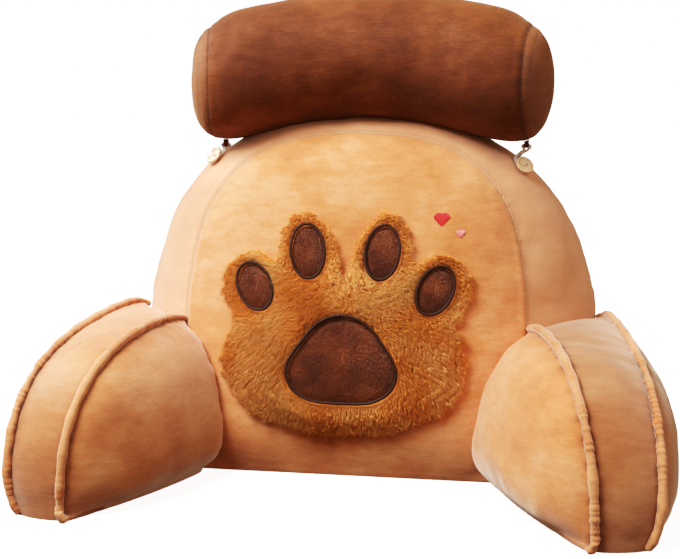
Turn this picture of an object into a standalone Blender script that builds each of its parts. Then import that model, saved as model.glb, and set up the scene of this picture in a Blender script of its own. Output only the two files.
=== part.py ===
"""Reading pillow with arms: a reclined plush backrest, two stuffed arms with raised
welts, a head bolster on two elastic loops and buttons, and a long-pile paw on the front.

Metres, +Z up. The pillow faces -Y and stands on z = 0. The origin is the middle of the
flat base under the backrest.
"""

import math

import bmesh
import bpy
import numpy as np
from mathutils import Matrix, Vector
from mathutils.bvhtree import BVHTree

SEAT_GAP = 0.0004  # between pieces that touch

# ---------------------------------------------------------------- driving sizes
# Backrest: a front panel and a larger back panel, joined by a boxing strip.
FRONT_HALF_WIDTH, FRONT_HEIGHT = 0.196, 0.378
FRONT_SIDE_POWER, FRONT_TOP_POWER = 2.5, 5.0
FRONT_SEAM_Y, FRONT_RECLINE = -0.077, 0.210
BACK_HALF_WIDTH, BACK_HEIGHT = 0.284, 0.383
BACK_SIDE_POWER, BACK_TOP_POWER = 2.4, 3.3
BACK_SEAM_Y, BACK_RECLINE = 0.066, 0.08
BASE_CORNER = 0.022
FRONT_CROWN, BACK_CROWN = 0.036, 0.022
SIDE_BOXING_CROWN, TOP_BOXING_CROWN = 0.009, 0.018
TOP_START, TOP_RUN = 0.20, 0.10  # the height where the boxing's crown starts to grow, and over how much
BOXING_FOOT_RISE = 0.06  # height over which the boxing's crown leaves the floor
PANEL_CENTRE_Z = 0.17
DOME_REACH, DOME_STEEPNESS = 2.6, 0.6  # a stuffed panel: how far its crown reaches, how it meets the seam

# Arms: plan points of the two seams where they leave the backrest and where they end.
INNER_REAR, INNER_FRONT = (0.198, -0.038), (0.262, -0.271)
OUTER_REAR, OUTER_FRONT = (0.280, 0.070), (0.323, -0.257)
ARM_POWER = 3.0
INNER_HEIGHT, OUTER_HEIGHT = 0.170, 0.167
REAR_DROOP, DROOP_RUN = 0.005, 0.08  # the tops dip where they meet the backrest
INNER_TUCK, OUTER_TUCK = 0.060, 0.008  # how far each side runs on into the backrest
INNER_FLARE, OUTER_FLARE = 0.046, 0.012  # how far the foot stands out past the seam
INNER_TURN, OUTER_TURN, TURN_RISE = 0.002, 0.012, 0.045  # the front corners turn in at the floor
INNER_CENTRE, OUTER_CENTRE = (0.055, 0.075), (0.150, 0.085)  # of each side's crown, along it and up
INNER_CROWN, OUTER_CROWN, BAND_CROWN = 0.046, 0.034, 0.006
FOOT_RISE = 0.016  # height over which the side leaves the base seam
BAND_FOOT, BAND_RISE = 0.03, 0.06  # the band's crown: already half full at the floor

# Welts: stuffed ridges along both seams of each arm.
WELT_RADIUS, WELT_PUCKER = 0.0042, 0.0005
WELT_LEAN = math.atan(0.35)  # how far the ridge leans out from the band
TAIL_THICKNESS, TAIL_RUNS, TAIL_END = 0.0056, (0.010, 0.024, 0.044), 0.6
INNER_REAR_ROWS = (  # the way into the backrest: towards it, further back, up
    (0.0035, 0.0045, 0.0002),
    (0.0140, 0.0080, 0.0016),
)
OUTER_REAR_ROWS = (
    (0.0070, 0.0010, -0.0010),
    (0.0200, 0.0010, -0.0020),
)
FLOOR_GAP = 0.0005
INNER_FOOT_ROWS = (  # how far ahead of the arm's front foot, how far aside, height
    (0.0050, 0.0022, 0.0140),
    (0.0050, 0.0045, 0.0075),
    (0.0040, 0.0058, 0.0040),
    (-0.0030, 0.0058, 0.0034),
)
OUTER_FOOT_ROWS = (
    (0.0052, 0.0062, 0.0090),
    (0.0046, 0.0020, FLOOR_GAP),
)

# Bolster: a bent roll with a disc sewn in at each end.
BOLSTER_HALF, BOLSTER_X, BOLSTER_Y, BOLSTER_Z = 0.185, 0.006, 0.045, 0.4590
BOLSTER_SAG, BOLSTER_WRAP = 0.026, 0.016  # how far the ends hang down and come forward
BOLSTER_ROWS = (  # share of the half length, radius
    (0.00, 0.0725),
    (0.50, 0.0740),
    (0.82, 0.0745),
    (0.93, 0.0718),
    (1.00, 0.0632),
)
CAP_CROWN = 0.0227

# Button, its thread, the elastic loop and the cloth tab that holds it.
BUTTON_MIDDLE_X, BUTTON_X, BUTTON_Y, BUTTON_AIM_Z = 0.011, 0.178, 0.030, 0.340  # X from the middle
BUTTON_SLANT = 0.003  # the right button is sewn on a little higher, the left one lower
BUTTON_RADIUS, BUTTON_THICKNESS = 0.0112, 0.0036
HOLE_OFFSET, HOLE_RADIUS = 0.0032, 0.0014
SHANK_RADIUS, SHANK_FOOT, SHANK_FLARE, SHANK_HEIGHT = 0.0022, 0.0012, 1.2, 0.0048
ELASTIC_RADIUS, ELASTIC_HALF_WIDTH = 0.0014, 0.0047
TAB_MIDDLE_X, TAB_X, TAB_Y, TAB_DROP = 0.012, 0.175, 0.030, 0.0085  # X from the middle, drop below the roll
TAB_WIDTH, TAB_THICKNESS, TAB_SUNK = 0.0056, 0.0013, 0.004

# Paw: long pile with short-pile pads let into it. Rows are ellipses on the front panel.
PILE, PILE_LUMP, PILE_FLOOR = 0.0120, 0.0014, 0.0020
LOCKS, LOCK_LENGTH, RIM_STEPS = 58, 0.0080, 720
LOCK_VARIES, LOCK_BEAT, GAP_DEPTH = 0.38, 2.4, 0.0015  # of the rim's locks and the dips between them
PAW_CENTRE, PAW_JOIN_POWER = (-0.006, 0.155), 24
SLAB_SHARES, SLAB_EDGE, SLAB_SLOPE = (0.34, 0.62, 0.82, 0.93, 1.0), 1.03, 0.17
TIP_HEIGHT, DIP_HEIGHT, UNDERSIDE, RIM_LIFT = 0.0034, 0.0060, 0.0006, 0.0016  # above the front panel
PAW_ROWS = (  # from the paw's middle: centre x, centre z, half width, half height, tilt
    (0.000, 0.122, 0.134, 0.072, 0),
    (0.000, 0.172, 0.090, 0.050, 0),
    (-0.062, 0.150, 0.070, 0.060, 0),
    (0.062, 0.150, 0.070, 0.060, 0),
    (-0.100, 0.206, 0.036, 0.044, 24),
    (0.100, 0.206, 0.036, 0.044, -24),
    (-0.041, 0.241, 0.033, 0.050, 7),
    (0.041, 0.241, 0.033, 0.050, -7),
)
PAD_THICKNESS, PAD_CROWN = 0.0050, 0.0040
TOE_PAD_ROWS = (  # name, centre x, centre z, half width, half height, tilt in degrees
    ("toe_pad_1", -0.099, 0.208, 0.0185, 0.0260, 24),
    ("toe_pad_2", -0.041, 0.247, 0.0185, 0.0280, 7),
    ("toe_pad_3", 0.041, 0.247, 0.0185, 0.0280, -7),
    ("toe_pad_4", 0.099, 0.208, 0.0185, 0.0260, -24),
)
PALM_PAD = ("palm_pad", 0.0, 0.128, 0.058, 0.046)
PALM_PAD_LOBE = 0.104
PAD_LIFT, PAD_ROOM, PAD_CUT_HEIGHT = 0.0005, 0.0006, 0.03  # off the pile's floor, round it, above it

PLUSH = ("tan_plush", (0.72, 0.38, 0.17), 0.85)
BROWN_PLUSH = ("brown_plush", (0.20, 0.065, 0.022), 0.85)
LONG_PILE = ("golden_pile", (0.60, 0.27, 0.07), 0.9)
PAD_PILE = ("pad_pile", (0.17, 0.055, 0.025), 0.85)
BUTTON_RESIN = ("button_resin", (0.78, 0.55, 0.36), 0.35)
ELASTIC = ("elastic", (0.62, 0.56, 0.54), 0.7)
THREAD = ("thread", (0.72, 0.50, 0.32), 0.8)


# ---------------------------------------------------------------- helpers
def material(finish):
    name, colour, roughness = finish
    found = bpy.data.materials.get(name)
    if found:
        return found
    made = bpy.data.materials.new(name)
    made.use_nodes = True
    shader = made.node_tree.nodes["Principled BSDF"]
    shader.inputs["Base Color"].default_value = (*colour, 1.0)
    shader.inputs["Roughness"].default_value = roughness
    shader.inputs["Metallic"].default_value = 0.0
    return made


def as_object(name, mesh_bm, finish, sharp_degrees=50):
    bmesh.ops.recalc_face_normals(mesh_bm, faces=mesh_bm.faces)
    bmesh.ops.triangulate(mesh_bm, faces=mesh_bm.faces)
    mesh = bpy.data.meshes.new(name)
    mesh_bm.to_mesh(mesh)
    mesh_bm.free()
    mesh.materials.append(material(finish))
    mesh.shade_smooth()
    mesh.set_sharp_from_angle(angle=math.radians(sharp_degrees))
    made = bpy.data.objects.new(name, mesh)
    bpy.context.scene.collection.objects.link(made)
    return made


def skin(rings, first_pole=None, last_pole=None):
    """A bmesh through closed rings of equal counts, closed by a pole or by a flat cap."""
    bm = bmesh.new()
    rows = [[bm.verts.new(point) for point in ring] for ring in rings]
    count = len(rows[0])
    for near, far in zip(rows, rows[1:]):
        for i in range(count):
            j = (i + 1) % count
            bm.faces.new((near[i], near[j], far[j], far[i]))
    for row, pole in ((rows[0], first_pole), (rows[-1], last_pole)):
        if pole is None:
            bm.faces.new(row)
            continue
        tip = bm.verts.new(pole)
        for i in range(count):
            bm.faces.new((row[i], row[(i + 1) % count], tip))
    return bm


def guide(obj):
    """A helper that shapes other pieces and is no piece itself."""
    obj.hide_render = True
    obj.display_type = "WIRE"
    return obj


def cut(obj, *cutters):
    for cutter in cutters:
        modifier = obj.modifiers.new("cut", "BOOLEAN")
        modifier.operation = "DIFFERENCE"
        modifier.object = cutter
    return obj


def smoothstep(value):
    share = min(1.0, max(0.0, value))
    return share * share * (3 - 2 * share)


def dome(rho):
    """Height of a stuffed panel: full in the middle and steep at its seam (rho = 1)."""
    return (1 - min(1.0, rho) ** DOME_REACH) ** DOME_STEEPNESS


def spread_evenly(points, segments):
    """The polyline again, as that many segments of equal length."""
    line = np.array(points, float)
    steps = np.linalg.norm(np.diff(line, axis=0), axis=1)
    along = np.concatenate([[0.0], np.cumsum(steps)])
    at = np.linspace(0.0, along[-1], segments + 1)
    return np.stack([np.interp(at, along, line[:, k]) for k in range(line.shape[1])], axis=1)


# ---------------------------------------------------------------- backrest
LOOP_SEGMENTS = 64
PANEL_RINGS = (0.28, 0.52, 0.72, 0.87, 0.96)
BOXING_RINGS = (0.0, 0.1, 0.36, 0.64, 0.9, 1.0)


def arch_loop(half_width, height, side_power, top_power):
    """(x, z) round an arch that stands on the floor, from its base centre."""
    right = [(0.0, 0.0), (half_width - BASE_CORNER, 0.0)]
    for k in range(1, 7):
        angle = math.radians(15 * k)
        right.append(
            (
                half_width - BASE_CORNER + BASE_CORNER * math.sin(angle),
                BASE_CORNER * (1 - math.cos(angle)),
            )
        )
    for k in range(1, 241):
        share = math.sin(math.pi / 2 * k / 240)
        z = BASE_CORNER + (height - BASE_CORNER) * share
        width = max(0.0, 1 - (z / height) ** top_power) ** (1 / side_power)
        right.append((min(right[-1][0], half_width * width), z))
    right = spread_evenly(right, LOOP_SEGMENTS // 2)
    left = right[1:-1][::-1] * np.array([-1.0, 1.0])
    return np.concatenate([right, left])


def build_backrest():
    front = arch_loop(FRONT_HALF_WIDTH, FRONT_HEIGHT, FRONT_SIDE_POWER, FRONT_TOP_POWER)
    back = arch_loop(BACK_HALF_WIDTH, BACK_HEIGHT, BACK_SIDE_POWER, BACK_TOP_POWER)
    centre = np.array([0.0, PANEL_CENTRE_Z])

    def panel(loop, rho, seam_y, recline, crown):
        flat = centre + (loop - centre) * rho
        return [(x, seam_y + recline * z + crown * dome(rho), z) for x, z in flat]

    def boxing(share):
        mean = (front + back) / 2
        along = np.roll(mean, -1, axis=0) - np.roll(mean, 1, axis=0)
        outward = np.stack([along[:, 1], -along[:, 0]], axis=1)
        outward /= np.linalg.norm(outward, axis=1)[:, None]
        ring = []
        for (fx, fz), (bx, bz), (nx, nz) in zip(front, back, outward):
            fy = FRONT_SEAM_Y + FRONT_RECLINE * fz
            by = BACK_SEAM_Y + BACK_RECLINE * bz
            z = fz + (bz - fz) * share
            crown = SIDE_BOXING_CROWN
            crown += (TOP_BOXING_CROWN - SIDE_BOXING_CROWN) * smoothstep((z - TOP_START) / TOP_RUN)
            swell = crown * 4 * share * (1 - share) * smoothstep(z / BOXING_FOOT_RISE)
            x = fx + (bx - fx) * share + nx * swell
            ring.append((x, fy + (by - fy) * share, max(0.0, z + nz * swell)))
        return ring

    rings = [
        panel(front, rho, FRONT_SEAM_Y, FRONT_RECLINE, -FRONT_CROWN) for rho in PANEL_RINGS
    ]
    rings += [boxing(share) for share in BOXING_RINGS]
    rings += [
        panel(back, rho, BACK_SEAM_Y, BACK_RECLINE, BACK_CROWN) for rho in PANEL_RINGS[::-1]
    ]
    front_pole = (0.0, FRONT_SEAM_Y + FRONT_RECLINE * PANEL_CENTRE_Z - FRONT_CROWN, PANEL_CENTRE_Z)
    back_pole = (0.0, BACK_SEAM_Y + BACK_RECLINE * PANEL_CENTRE_Z + BACK_CROWN, PANEL_CENTRE_Z)
    return as_object("backrest", skin(rings, front_pole, back_pole), PLUSH)


def grown_copy(obj, name, margin):
    """A guide like obj but larger by margin all over, to cut what is seated on obj."""
    made = bpy.data.objects.new(name, obj.data.copy())
    bpy.context.scene.collection.objects.link(made)
    swell = made.modifiers.new("margin", "DISPLACE")
    swell.strength = margin
    swell.mid_level = 0.0
    return guide(made)


# ---------------------------------------------------------------- arms
BOTTOM_SEGMENTS, FRONT_SEGMENTS, TUCK_SEGMENTS, REAR_SEGMENTS = 10, 20, 2, 4
ARM_PANEL_RINGS = (0.26, 0.52, 0.74, 0.88, 0.96)
BAND_RINGS = (0.0, 0.14, 0.5, 0.86, 1.0)


class ArmSide:
    """One side panel of the right arm, in (s, z): s runs forward along its seam in plan."""

    def __init__(self, rear, front, height, tuck, flare, turn, crown, centre, inward):
        self.rear, self.height, self.tuck = Vector(rear), height, tuck
        self.flare, self.turn, self.crown = flare, turn, crown
        self.centre = np.array(centre)
        run = Vector(front) - self.rear
        self.length = run.length
        self.forward = run.normalized()
        side = Vector((self.forward.y, -self.forward.x))
        self.out = side if (side.x < 0) == inward else -side

    def outline(self):
        """The seam round the panel, from its rear foot, forward, up and back."""
        s_rear, s_front = -self.tuck, self.length
        points = [
            (s_rear + (s_front - s_rear) * k / BOTTOM_SEGMENTS, 0.0)
            for k in range(BOTTOM_SEGMENTS)
        ]
        curve = []
        for k in range(241):
            angle = math.pi / 2 * k / 240
            s = s_front * math.cos(angle) ** (2 / ARM_POWER)
            droop = REAR_DROOP * max(0.0, 1 - s / DROOP_RUN) ** 2
            curve.append((s, self.height * math.sin(angle) ** (2 / ARM_POWER) - droop))
        points += [tuple(p) for p in spread_evenly(curve, FRONT_SEGMENTS)]
        points += [
            (s_rear * k / TUCK_SEGMENTS, self.height - REAR_DROOP)
            for k in range(1, TUCK_SEGMENTS + 1)
        ]
        points += [
            (s_rear, (self.height - REAR_DROOP) * (1 - k / REAR_SEGMENTS))
            for k in range(1, REAR_SEGMENTS)
        ]
        return np.array(points)

    def at(self, s, z, swell=0.0):
        foot = self.flare * (1 - (s / self.length) ** 2) * (1 - z / self.height)
        foot -= self.turn * max(0.0, s / self.length) ** 4 * max(0.0, 1 - z / TURN_RISE) ** 2
        plan = self.rear + self.forward * s + self.out * (foot + swell)
        return Vector((plan.x, plan.y, z))

    def panel(self, rho):
        ring = []
        for s, z in self.centre + (self.outline() - self.centre) * rho:
            swell = self.crown * dome(rho) * smoothstep(z / FOOT_RISE)
            ring.append(self.at(s, z, swell))
        return ring

    def profile_normals(self):
        """Outward (s, z) directions at the outline's points."""
        line = self.outline()
        along = np.roll(line, -1, axis=0) - np.roll(line, 1, axis=0)
        out = np.stack([along[:, 1], -along[:, 0]], axis=1)
        return out / np.linalg.norm(out, axis=1)[:, None]

    def seam_frames(self):
        """(seam point, direction away from the band) along the front and top of the arm."""
        first = BOTTOM_SEGMENTS
        rows = zip(self.outline(), self.profile_normals())
        frames = []
        for (s, z), (ns, nz) in list(rows)[first : first + FRONT_SEGMENTS + 1]:
            away = Vector((self.forward.x * ns, self.forward.y * ns, nz))
            frames.append((self.at(s, z), away))
        return frames


INNER = ArmSide(
    INNER_REAR, INNER_FRONT, INNER_HEIGHT, INNER_TUCK, INNER_FLARE, INNER_TURN, INNER_CROWN,
    INNER_CENTRE, inward=True,
)
OUTER = ArmSide(
    OUTER_REAR, OUTER_FRONT, OUTER_HEIGHT, OUTER_TUCK, OUTER_FLARE, OUTER_TURN, OUTER_CROWN,
    OUTER_CENTRE, inward=False,
)


def mirrored(points, side):
    return [Vector((side * p[0], p[1], p[2])) for p in points]


def build_arm(name, side, backrest_guide):
    def band(share):
        normals = INNER.profile_normals()
        ring = []
        for (s1, z1), (s2, z2), (ns, nz) in zip(INNER.outline(), OUTER.outline(), normals):
            near, far = INNER.at(s1, z1), OUTER.at(s2, z2)
            swell = BAND_CROWN * 4 * share * (1 - share)
            swell *= smoothstep((near.z + BAND_FOOT) / BAND_RISE)
            out = Vector((INNER.forward.x * ns, INNER.forward.y * ns, nz))
            point = near.lerp(far, share) + out * swell
            point.z = max(0.0, point.z)
            ring.append(point)
        return ring

    rings = [INNER.panel(rho) for rho in ARM_PANEL_RINGS]
    rings += [band(share) for share in BAND_RINGS]
    rings += [OUTER.panel(rho) for rho in ARM_PANEL_RINGS[::-1]]
    inner_pole = INNER.at(*INNER.centre, INNER.crown)
    outer_pole = OUTER.at(*OUTER.centre, OUTER.crown)
    bm = skin(
        [mirrored(ring, side) for ring in rings],
        *mirrored([inner_pole, outer_pole], side),
    )
    return cut(as_object(name, bm, PLUSH), backrest_guide)


def tube(path, level, radii, heights, sides=8):
    """Rings along path. level is the first sideways direction, kept square to the path."""
    rings = []
    for k, point in enumerate(path):
        ahead = path[min(k + 1, len(path) - 1)] - path[max(k - 1, 0)]
        ahead.normalize()
        level = (level - ahead * level.dot(ahead)).normalized()
        up = level.cross(ahead)
        ring = []
        for j in range(sides):
            angle = 2 * math.pi * (j + 0.5) / sides
            aside, above = radii[k] * math.cos(angle), heights[k] * math.sin(angle)
            ring.append(point + level * aside + up * above)
        rings.append(ring)
    return rings


def build_welt(name, arm_side, side, rear_turn, rear_rows, foot_rows, tail_runs, neighbours):
    """The ridge along one seam, from inside the backrest forward and down to the floor.

    With tail runs it turns back under the corner and lies along the foot of the arm.
    """
    out = Vector((arm_side.out.x, arm_side.out.y, 0))
    stand_off = WELT_RADIUS + WELT_PUCKER + SEAT_GAP
    path = [
        seam + (away * math.cos(WELT_LEAN) + out * math.sin(WELT_LEAN)) * stand_off
        for seam, away in arm_side.seam_frames()[::-1]
    ]
    rear = path[0]
    for aside, behind, rise in rear_rows:
        turn = rear_turn * aside - arm_side.forward * behind
        path.insert(0, rear + Vector((turn.x, turn.y, rise)))
    path.pop()
    foot = arm_side.at(arm_side.length, 0.0)
    ahead = Vector((arm_side.forward.x, arm_side.forward.y, 0))
    for reach, aside, z in foot_rows:
        path.append(foot + ahead * reach + out * aside + Vector((0, 0, z)))
    for run in tail_runs:
        point = arm_side.at(arm_side.length - run, 0.0, stand_off)
        path.append(Vector((point.x, point.y, FLOOR_GAP + TAIL_THICKNESS / 2)))
    radii = [WELT_RADIUS + WELT_PUCKER * (-1) ** k for k in range(len(path))]
    heights = list(radii)
    if tail_runs:
        heights[-len(tail_runs) :] = [TAIL_THICKNESS / 2] * len(tail_runs)
        heights[-1] *= TAIL_END
        radii[-1] *= TAIL_END
    rings = [mirrored(ring, side) for ring in tube(path, out, radii, heights)]
    for ring in rings:
        for point in ring:
            point.z = max(FLOOR_GAP, point.z)
    return cut(as_object(name, skin(rings), PLUSH, 70), *neighbours)


# ---------------------------------------------------------------- bolster
BOLSTER_STATIONS, BOLSTER_SIDES = 12, 32
CAP_RINGS = (0.38, 0.70, 0.91)


def bolster_ring(share, radius, beyond=0.0):
    """An upright ring of the roll, a share of the half length from its middle."""
    turn = math.atan(2 * BOLSTER_WRAP * share / BOLSTER_HALF)
    ahead = Vector((math.cos(turn), -math.sin(turn), 0))
    level = Vector((math.sin(turn), math.cos(turn), 0))
    centre = Vector(
        (
            BOLSTER_X + BOLSTER_HALF * share,
            BOLSTER_Y - BOLSTER_WRAP * share**2,
            BOLSTER_Z - BOLSTER_SAG * share**2,
        )
    )
    centre += ahead * beyond
    ring = []
    for k in range(BOLSTER_SIDES):
        angle = 2 * math.pi * (k + 0.5) / BOLSTER_SIDES
        ring.append(centre + (Vector((0, 0, math.cos(angle))) + level * math.sin(angle)) * radius)
    return ring


def bolster_radius(share):
    shares, radii = zip(*BOLSTER_ROWS)
    return float(np.interp(abs(share), shares, radii))


def build_bolster(backrest_guide):
    end_radius = BOLSTER_ROWS[-1][1]
    rings = []
    for k in range(BOLSTER_STATIONS + 1):
        share = math.sin(math.pi / 2 * (2 * k / BOLSTER_STATIONS - 1))
        rings.append(bolster_ring(share, bolster_radius(share)))
    for rho in CAP_RINGS[::-1]:
        rise = CAP_CROWN * dome(rho)
        rings.insert(0, bolster_ring(-1, end_radius * rho, -rise))
        rings.append(bolster_ring(1, end_radius * rho, rise))
    poles = [
        sum(bolster_ring(end, 0.001, end * CAP_CROWN), Vector()) / BOLSTER_SIDES
        for end in (-1, 1)
    ]
    return cut(as_object("bolster", skin(rings, *poles), BROWN_PLUSH), backrest_guide)


# ---------------------------------------------------------------- button and elastic loop
FAR_OFF = 0.2  # where a ray towards the pillow starts


def tree_of(obj):
    return BVHTree.FromObject(obj, bpy.context.evaluated_depsgraph_get())


def button_frame(backrest_tree, side, tab):
    """A matrix with its origin on the boxing strip, Z outward and X towards the bolster's tab."""
    aim_z = BUTTON_AIM_Z + side * BUTTON_SLANT
    aim = Vector((BUTTON_MIDDLE_X + side * BUTTON_X, BUTTON_Y, aim_z))
    start = aim + Vector((side, 0, 1)) * FAR_OFF
    place, normal, _, _ = backrest_tree.ray_cast(start, (aim - start).normalized())
    ahead = tab - place
    ahead = (ahead - normal * ahead.dot(normal)).normalized()
    frame = Matrix((ahead, normal.cross(ahead), normal)).transposed().to_4x4()
    frame.translation = place
    return frame


def disc_profile():
    """(radius, height) of the button from its underside centre to its top centre."""
    r, t = BUTTON_RADIUS, BUTTON_THICKNESS
    return (
        (r * 0.55, 0.0), (r * 0.85, t * 0.12), (r * 0.98, t * 0.40), (r, t * 0.60),
        (r * 0.93, t * 0.93), (r * 0.80, t), (r * 0.66, t * 0.86), (r * 0.56, t * 0.62),
    )


def build_button(name, frame):
    low = SHANK_HEIGHT
    rings = []
    for radius, height in disc_profile():
        rings.append(
            [
                frame @ Vector((radius * math.cos(a), radius * math.sin(a), low + height))
                for a in (2 * math.pi * k / 20 for k in range(20))
            ]
        )
    holes = []
    for sign in (-1, 1):
        bm = bmesh.new()
        bmesh.ops.create_cone(
            bm, cap_ends=True, segments=12, radius1=HOLE_RADIUS, radius2=HOLE_RADIUS, depth=0.02,
            matrix=frame @ Matrix.Translation((0, sign * HOLE_OFFSET, low)),
        )
        holes.append(guide(as_object(f"{name}_hole_{sign}", bm, BUTTON_RESIN)))
    button = as_object(name, skin(rings), BUTTON_RESIN, 40)
    return cut(button, *holes)


def build_thread(name, frame):
    """The sewing thread of a button: its wound shank, a little wider at the cloth."""
    rings = []
    for height, radius in (
        (SEAT_GAP, SHANK_RADIUS * SHANK_FLARE),
        (SHANK_FOOT, SHANK_RADIUS),
        (SHANK_HEIGHT - SEAT_GAP, SHANK_RADIUS),
    ):
        rings.append(
            [
                frame @ Vector((radius * math.cos(a), radius * math.sin(a), height))
                for a in (2 * math.pi * k / 12 for k in range(12))
            ]
        )
    return as_object(name, skin(rings), THREAD, 40)


def tab_centre(side, bolster_tree):
    """Where the elastic's top lies in its tab, below the bolster."""
    below = Vector((TAB_MIDDLE_X + side * TAB_X, TAB_Y, FAR_OFF))
    place, _, _, _ = bolster_tree.ray_cast(below, Vector((0, 0, 1)))
    return place - Vector((0, 0, TAB_DROP - ELASTIC_RADIUS - TAB_THICKNESS))


TAB_ACROSS = Vector((1, 0, 0))  # the strip's width runs along the bolster
STRAND_SHARES = (0.12, 0.45)  # of the way from the button's edge up to the tab
TAB_BEND_ROWS = (  # share of the loop's half width, how far below its top
    (-0.96, 0.0009),
    (-0.70, 0.0),
    (0.70, 0.0),
    (0.96, 0.0009),
)


def build_elastic(name, frame, top):
    """A closed loop of round elastic: round the button's shank and up through the tab."""
    wrap = SHANK_RADIUS + SEAT_GAP + ELASTIC_RADIUS
    origin, ahead, normal = frame.translation, frame.col[0].xyz, frame.col[2].xyz
    across = frame.col[1].xyz
    low = origin + normal * (SHANK_HEIGHT / 2)
    level_across = TAB_ACROSS if across.x > 0 else -TAB_ACROSS
    run = BUTTON_RADIUS + ELASTIC_RADIUS
    path = []
    for k in range(7):
        angle = math.pi * (0.5 + k / 6)
        path.append(low + (ahead * math.cos(angle) + across * math.sin(angle)) * wrap)
    knee = low + ahead * run
    strands = {1: [], -1: []}
    for sign, strand in strands.items():
        strand.append(low.lerp(knee, 0.55) + across * (sign * wrap))
        for share in STRAND_SHARES:
            lateral = across.lerp(level_across, share).normalized()
            strand.append(knee.lerp(top, share) + lateral * (sign * ELASTIC_HALF_WIDTH))
        below = top - Vector((0, 0, TAB_DROP / 2))
        strand.append(below + level_across * (sign * ELASTIC_HALF_WIDTH))
    path += strands[-1]
    for share, drop in TAB_BEND_ROWS:
        path.append(top + level_across * (ELASTIC_HALF_WIDTH * share) - Vector((0, 0, drop)))
    path += strands[1][::-1]
    curve = bpy.data.curves.new(name, "CURVE")
    curve.dimensions = "3D"
    curve.bevel_depth = ELASTIC_RADIUS
    curve.bevel_resolution = 2
    spline = curve.splines.new("POLY")
    spline.points.add(len(path) - 1)
    for point, place in zip(spline.points, path):
        point.co = (*place, 1.0)
    spline.use_cyclic_u = True
    curve.materials.append(material(ELASTIC))
    made = bpy.data.objects.new(name, curve)
    bpy.context.scene.collection.objects.link(made)
    return made


def build_tab(name, top, bolster_guide):
    """A folded strip of cloth that hangs from the bolster and holds the elastic."""
    inner = ELASTIC_RADIUS + SEAT_GAP
    outer = inner + TAB_THICKNESS
    level = TAB_ACROSS.cross(Vector((0, 0, 1)))
    leg = TAB_DROP + TAB_SUNK
    section = []
    for radius, order in ((outer, 1), (inner, -1)):
        bow = [(-radius, leg)]
        for k in range(7):
            angle = math.pi * k / 6
            bow.append((-radius * math.cos(angle), -radius * math.sin(angle)))
        bow.append((radius, leg))
        section += bow[::order]
    rings = []
    for end in (-TAB_WIDTH / 2, TAB_WIDTH / 2):
        middle = top + TAB_ACROSS * end
        rings.append([middle + level * u + Vector((0, 0, v)) for u, v in section])
    return cut(as_object(name, skin(rings), BROWN_PLUSH, 40), bolster_guide)


# ---------------------------------------------------------------- paw
def on_panel(panel_tree, x, z, height):
    """A point that far in front of the front panel, over (x, z)."""
    place, normal, _, _ = panel_tree.ray_cast(Vector((x, -1, z)), Vector((0, 1, 0)))
    return place + normal * height


def ellipse_reach(origin, angle, row):
    """How far a ray from origin runs to the far side of an ellipse, or 0."""
    cx, cz, half_width, half_height, tilt = row
    cx += PAW_CENTRE[0]
    turn = math.radians(-tilt)
    cos_t, sin_t = math.cos(turn), math.sin(turn)

    def local(dx, dz):
        return (
            (dx * cos_t - dz * sin_t) / half_width,
            (dx * sin_t + dz * cos_t) / half_height,
        )

    ox, oz = local(origin[0] - cx, origin[1] - cz)
    dx, dz = local(math.cos(angle), math.sin(angle))
    a, b, c = dx * dx + dz * dz, 2 * (ox * dx + oz * dz), ox * ox + oz * oz - 1
    root = b * b - 4 * a * c
    return max(0.0, (-b + math.sqrt(root)) / (2 * a)) if root >= 0 else 0.0


def paw_radius(angle):
    """The paw's outline round its centre: the furthest of its ellipses, softly joined."""
    reaches = [ellipse_reach(PAW_CENTRE, angle, row) for row in PAW_ROWS]
    return sum(reach**PAW_JOIN_POWER for reach in reaches) ** (1 / PAW_JOIN_POWER)


def lump(x, z):
    """Gentle unevenness of the pile."""
    return math.sin(52 * x + 1.3) * math.cos(47 * z) + 0.6 * math.sin(95 * x - 70 * z)


def surface_slab(panel_tree, outline, centre, under, over, shares):
    """A closed slab on the front panel: under and over give its two faces' heights."""
    def ring(share, height_of):
        made = []
        for k, (dx, dz) in enumerate(outline):
            x, z = centre[0] + dx * share, centre[1] + dz * share
            made.append(on_panel(panel_tree, x, z, height_of(share, k, x, z)))
        return made

    rings = [ring(share, under) for share in shares]
    rings += [ring(share, over) for share in shares[::-1]]
    poles = [
        on_panel(panel_tree, *centre, height_of(0.0, 0, *centre)) for height_of in (under, over)
    ]
    return skin(rings, *poles)


def build_paw(panel_tree, pad_guides):
    rim = []
    for k in range(RIM_STEPS + 1):
        angle = 2 * math.pi * k / RIM_STEPS
        radius = paw_radius(angle)
        rim.append((radius * math.cos(angle), radius * math.sin(angle)))
    rim = spread_evenly(rim, LOCKS * 2)[:-1]
    outline = []
    for k, (x, z) in enumerate(rim):
        (ax, az), (bx, bz) = rim[k] - rim[k - 2], rim[(k + 2) % len(rim)] - rim[k]
        hollow = ax * bz - az * bx < 0
        tip = k % 2 == 0 and not hollow
        grown = LOCK_LENGTH * (1 - LOCK_VARIES + LOCK_VARIES * math.sin(k * LOCK_BEAT))
        length = grown if tip else -GAP_DEPTH
        grow = 1 + length / math.hypot(x, z)
        outline.append((x * grow, z * grow))

    def under(share, k, x, z):
        return SEAT_GAP + (UNDERSIDE if share < 1 else RIM_LIFT)

    def over(share, k, x, z):
        if share == 1:
            return TIP_HEIGHT if k % 2 == 0 else DIP_HEIGHT
        full = PILE * smoothstep((SLAB_EDGE - share) / SLAB_SLOPE)
        return full + PILE_LUMP * lump(x, z) * (1 - share)

    bm = surface_slab(panel_tree, outline, PAW_CENTRE, under, over, SLAB_SHARES)
    return cut(as_object("paw_pile", bm, LONG_PILE, 60), *pad_guides)


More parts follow.
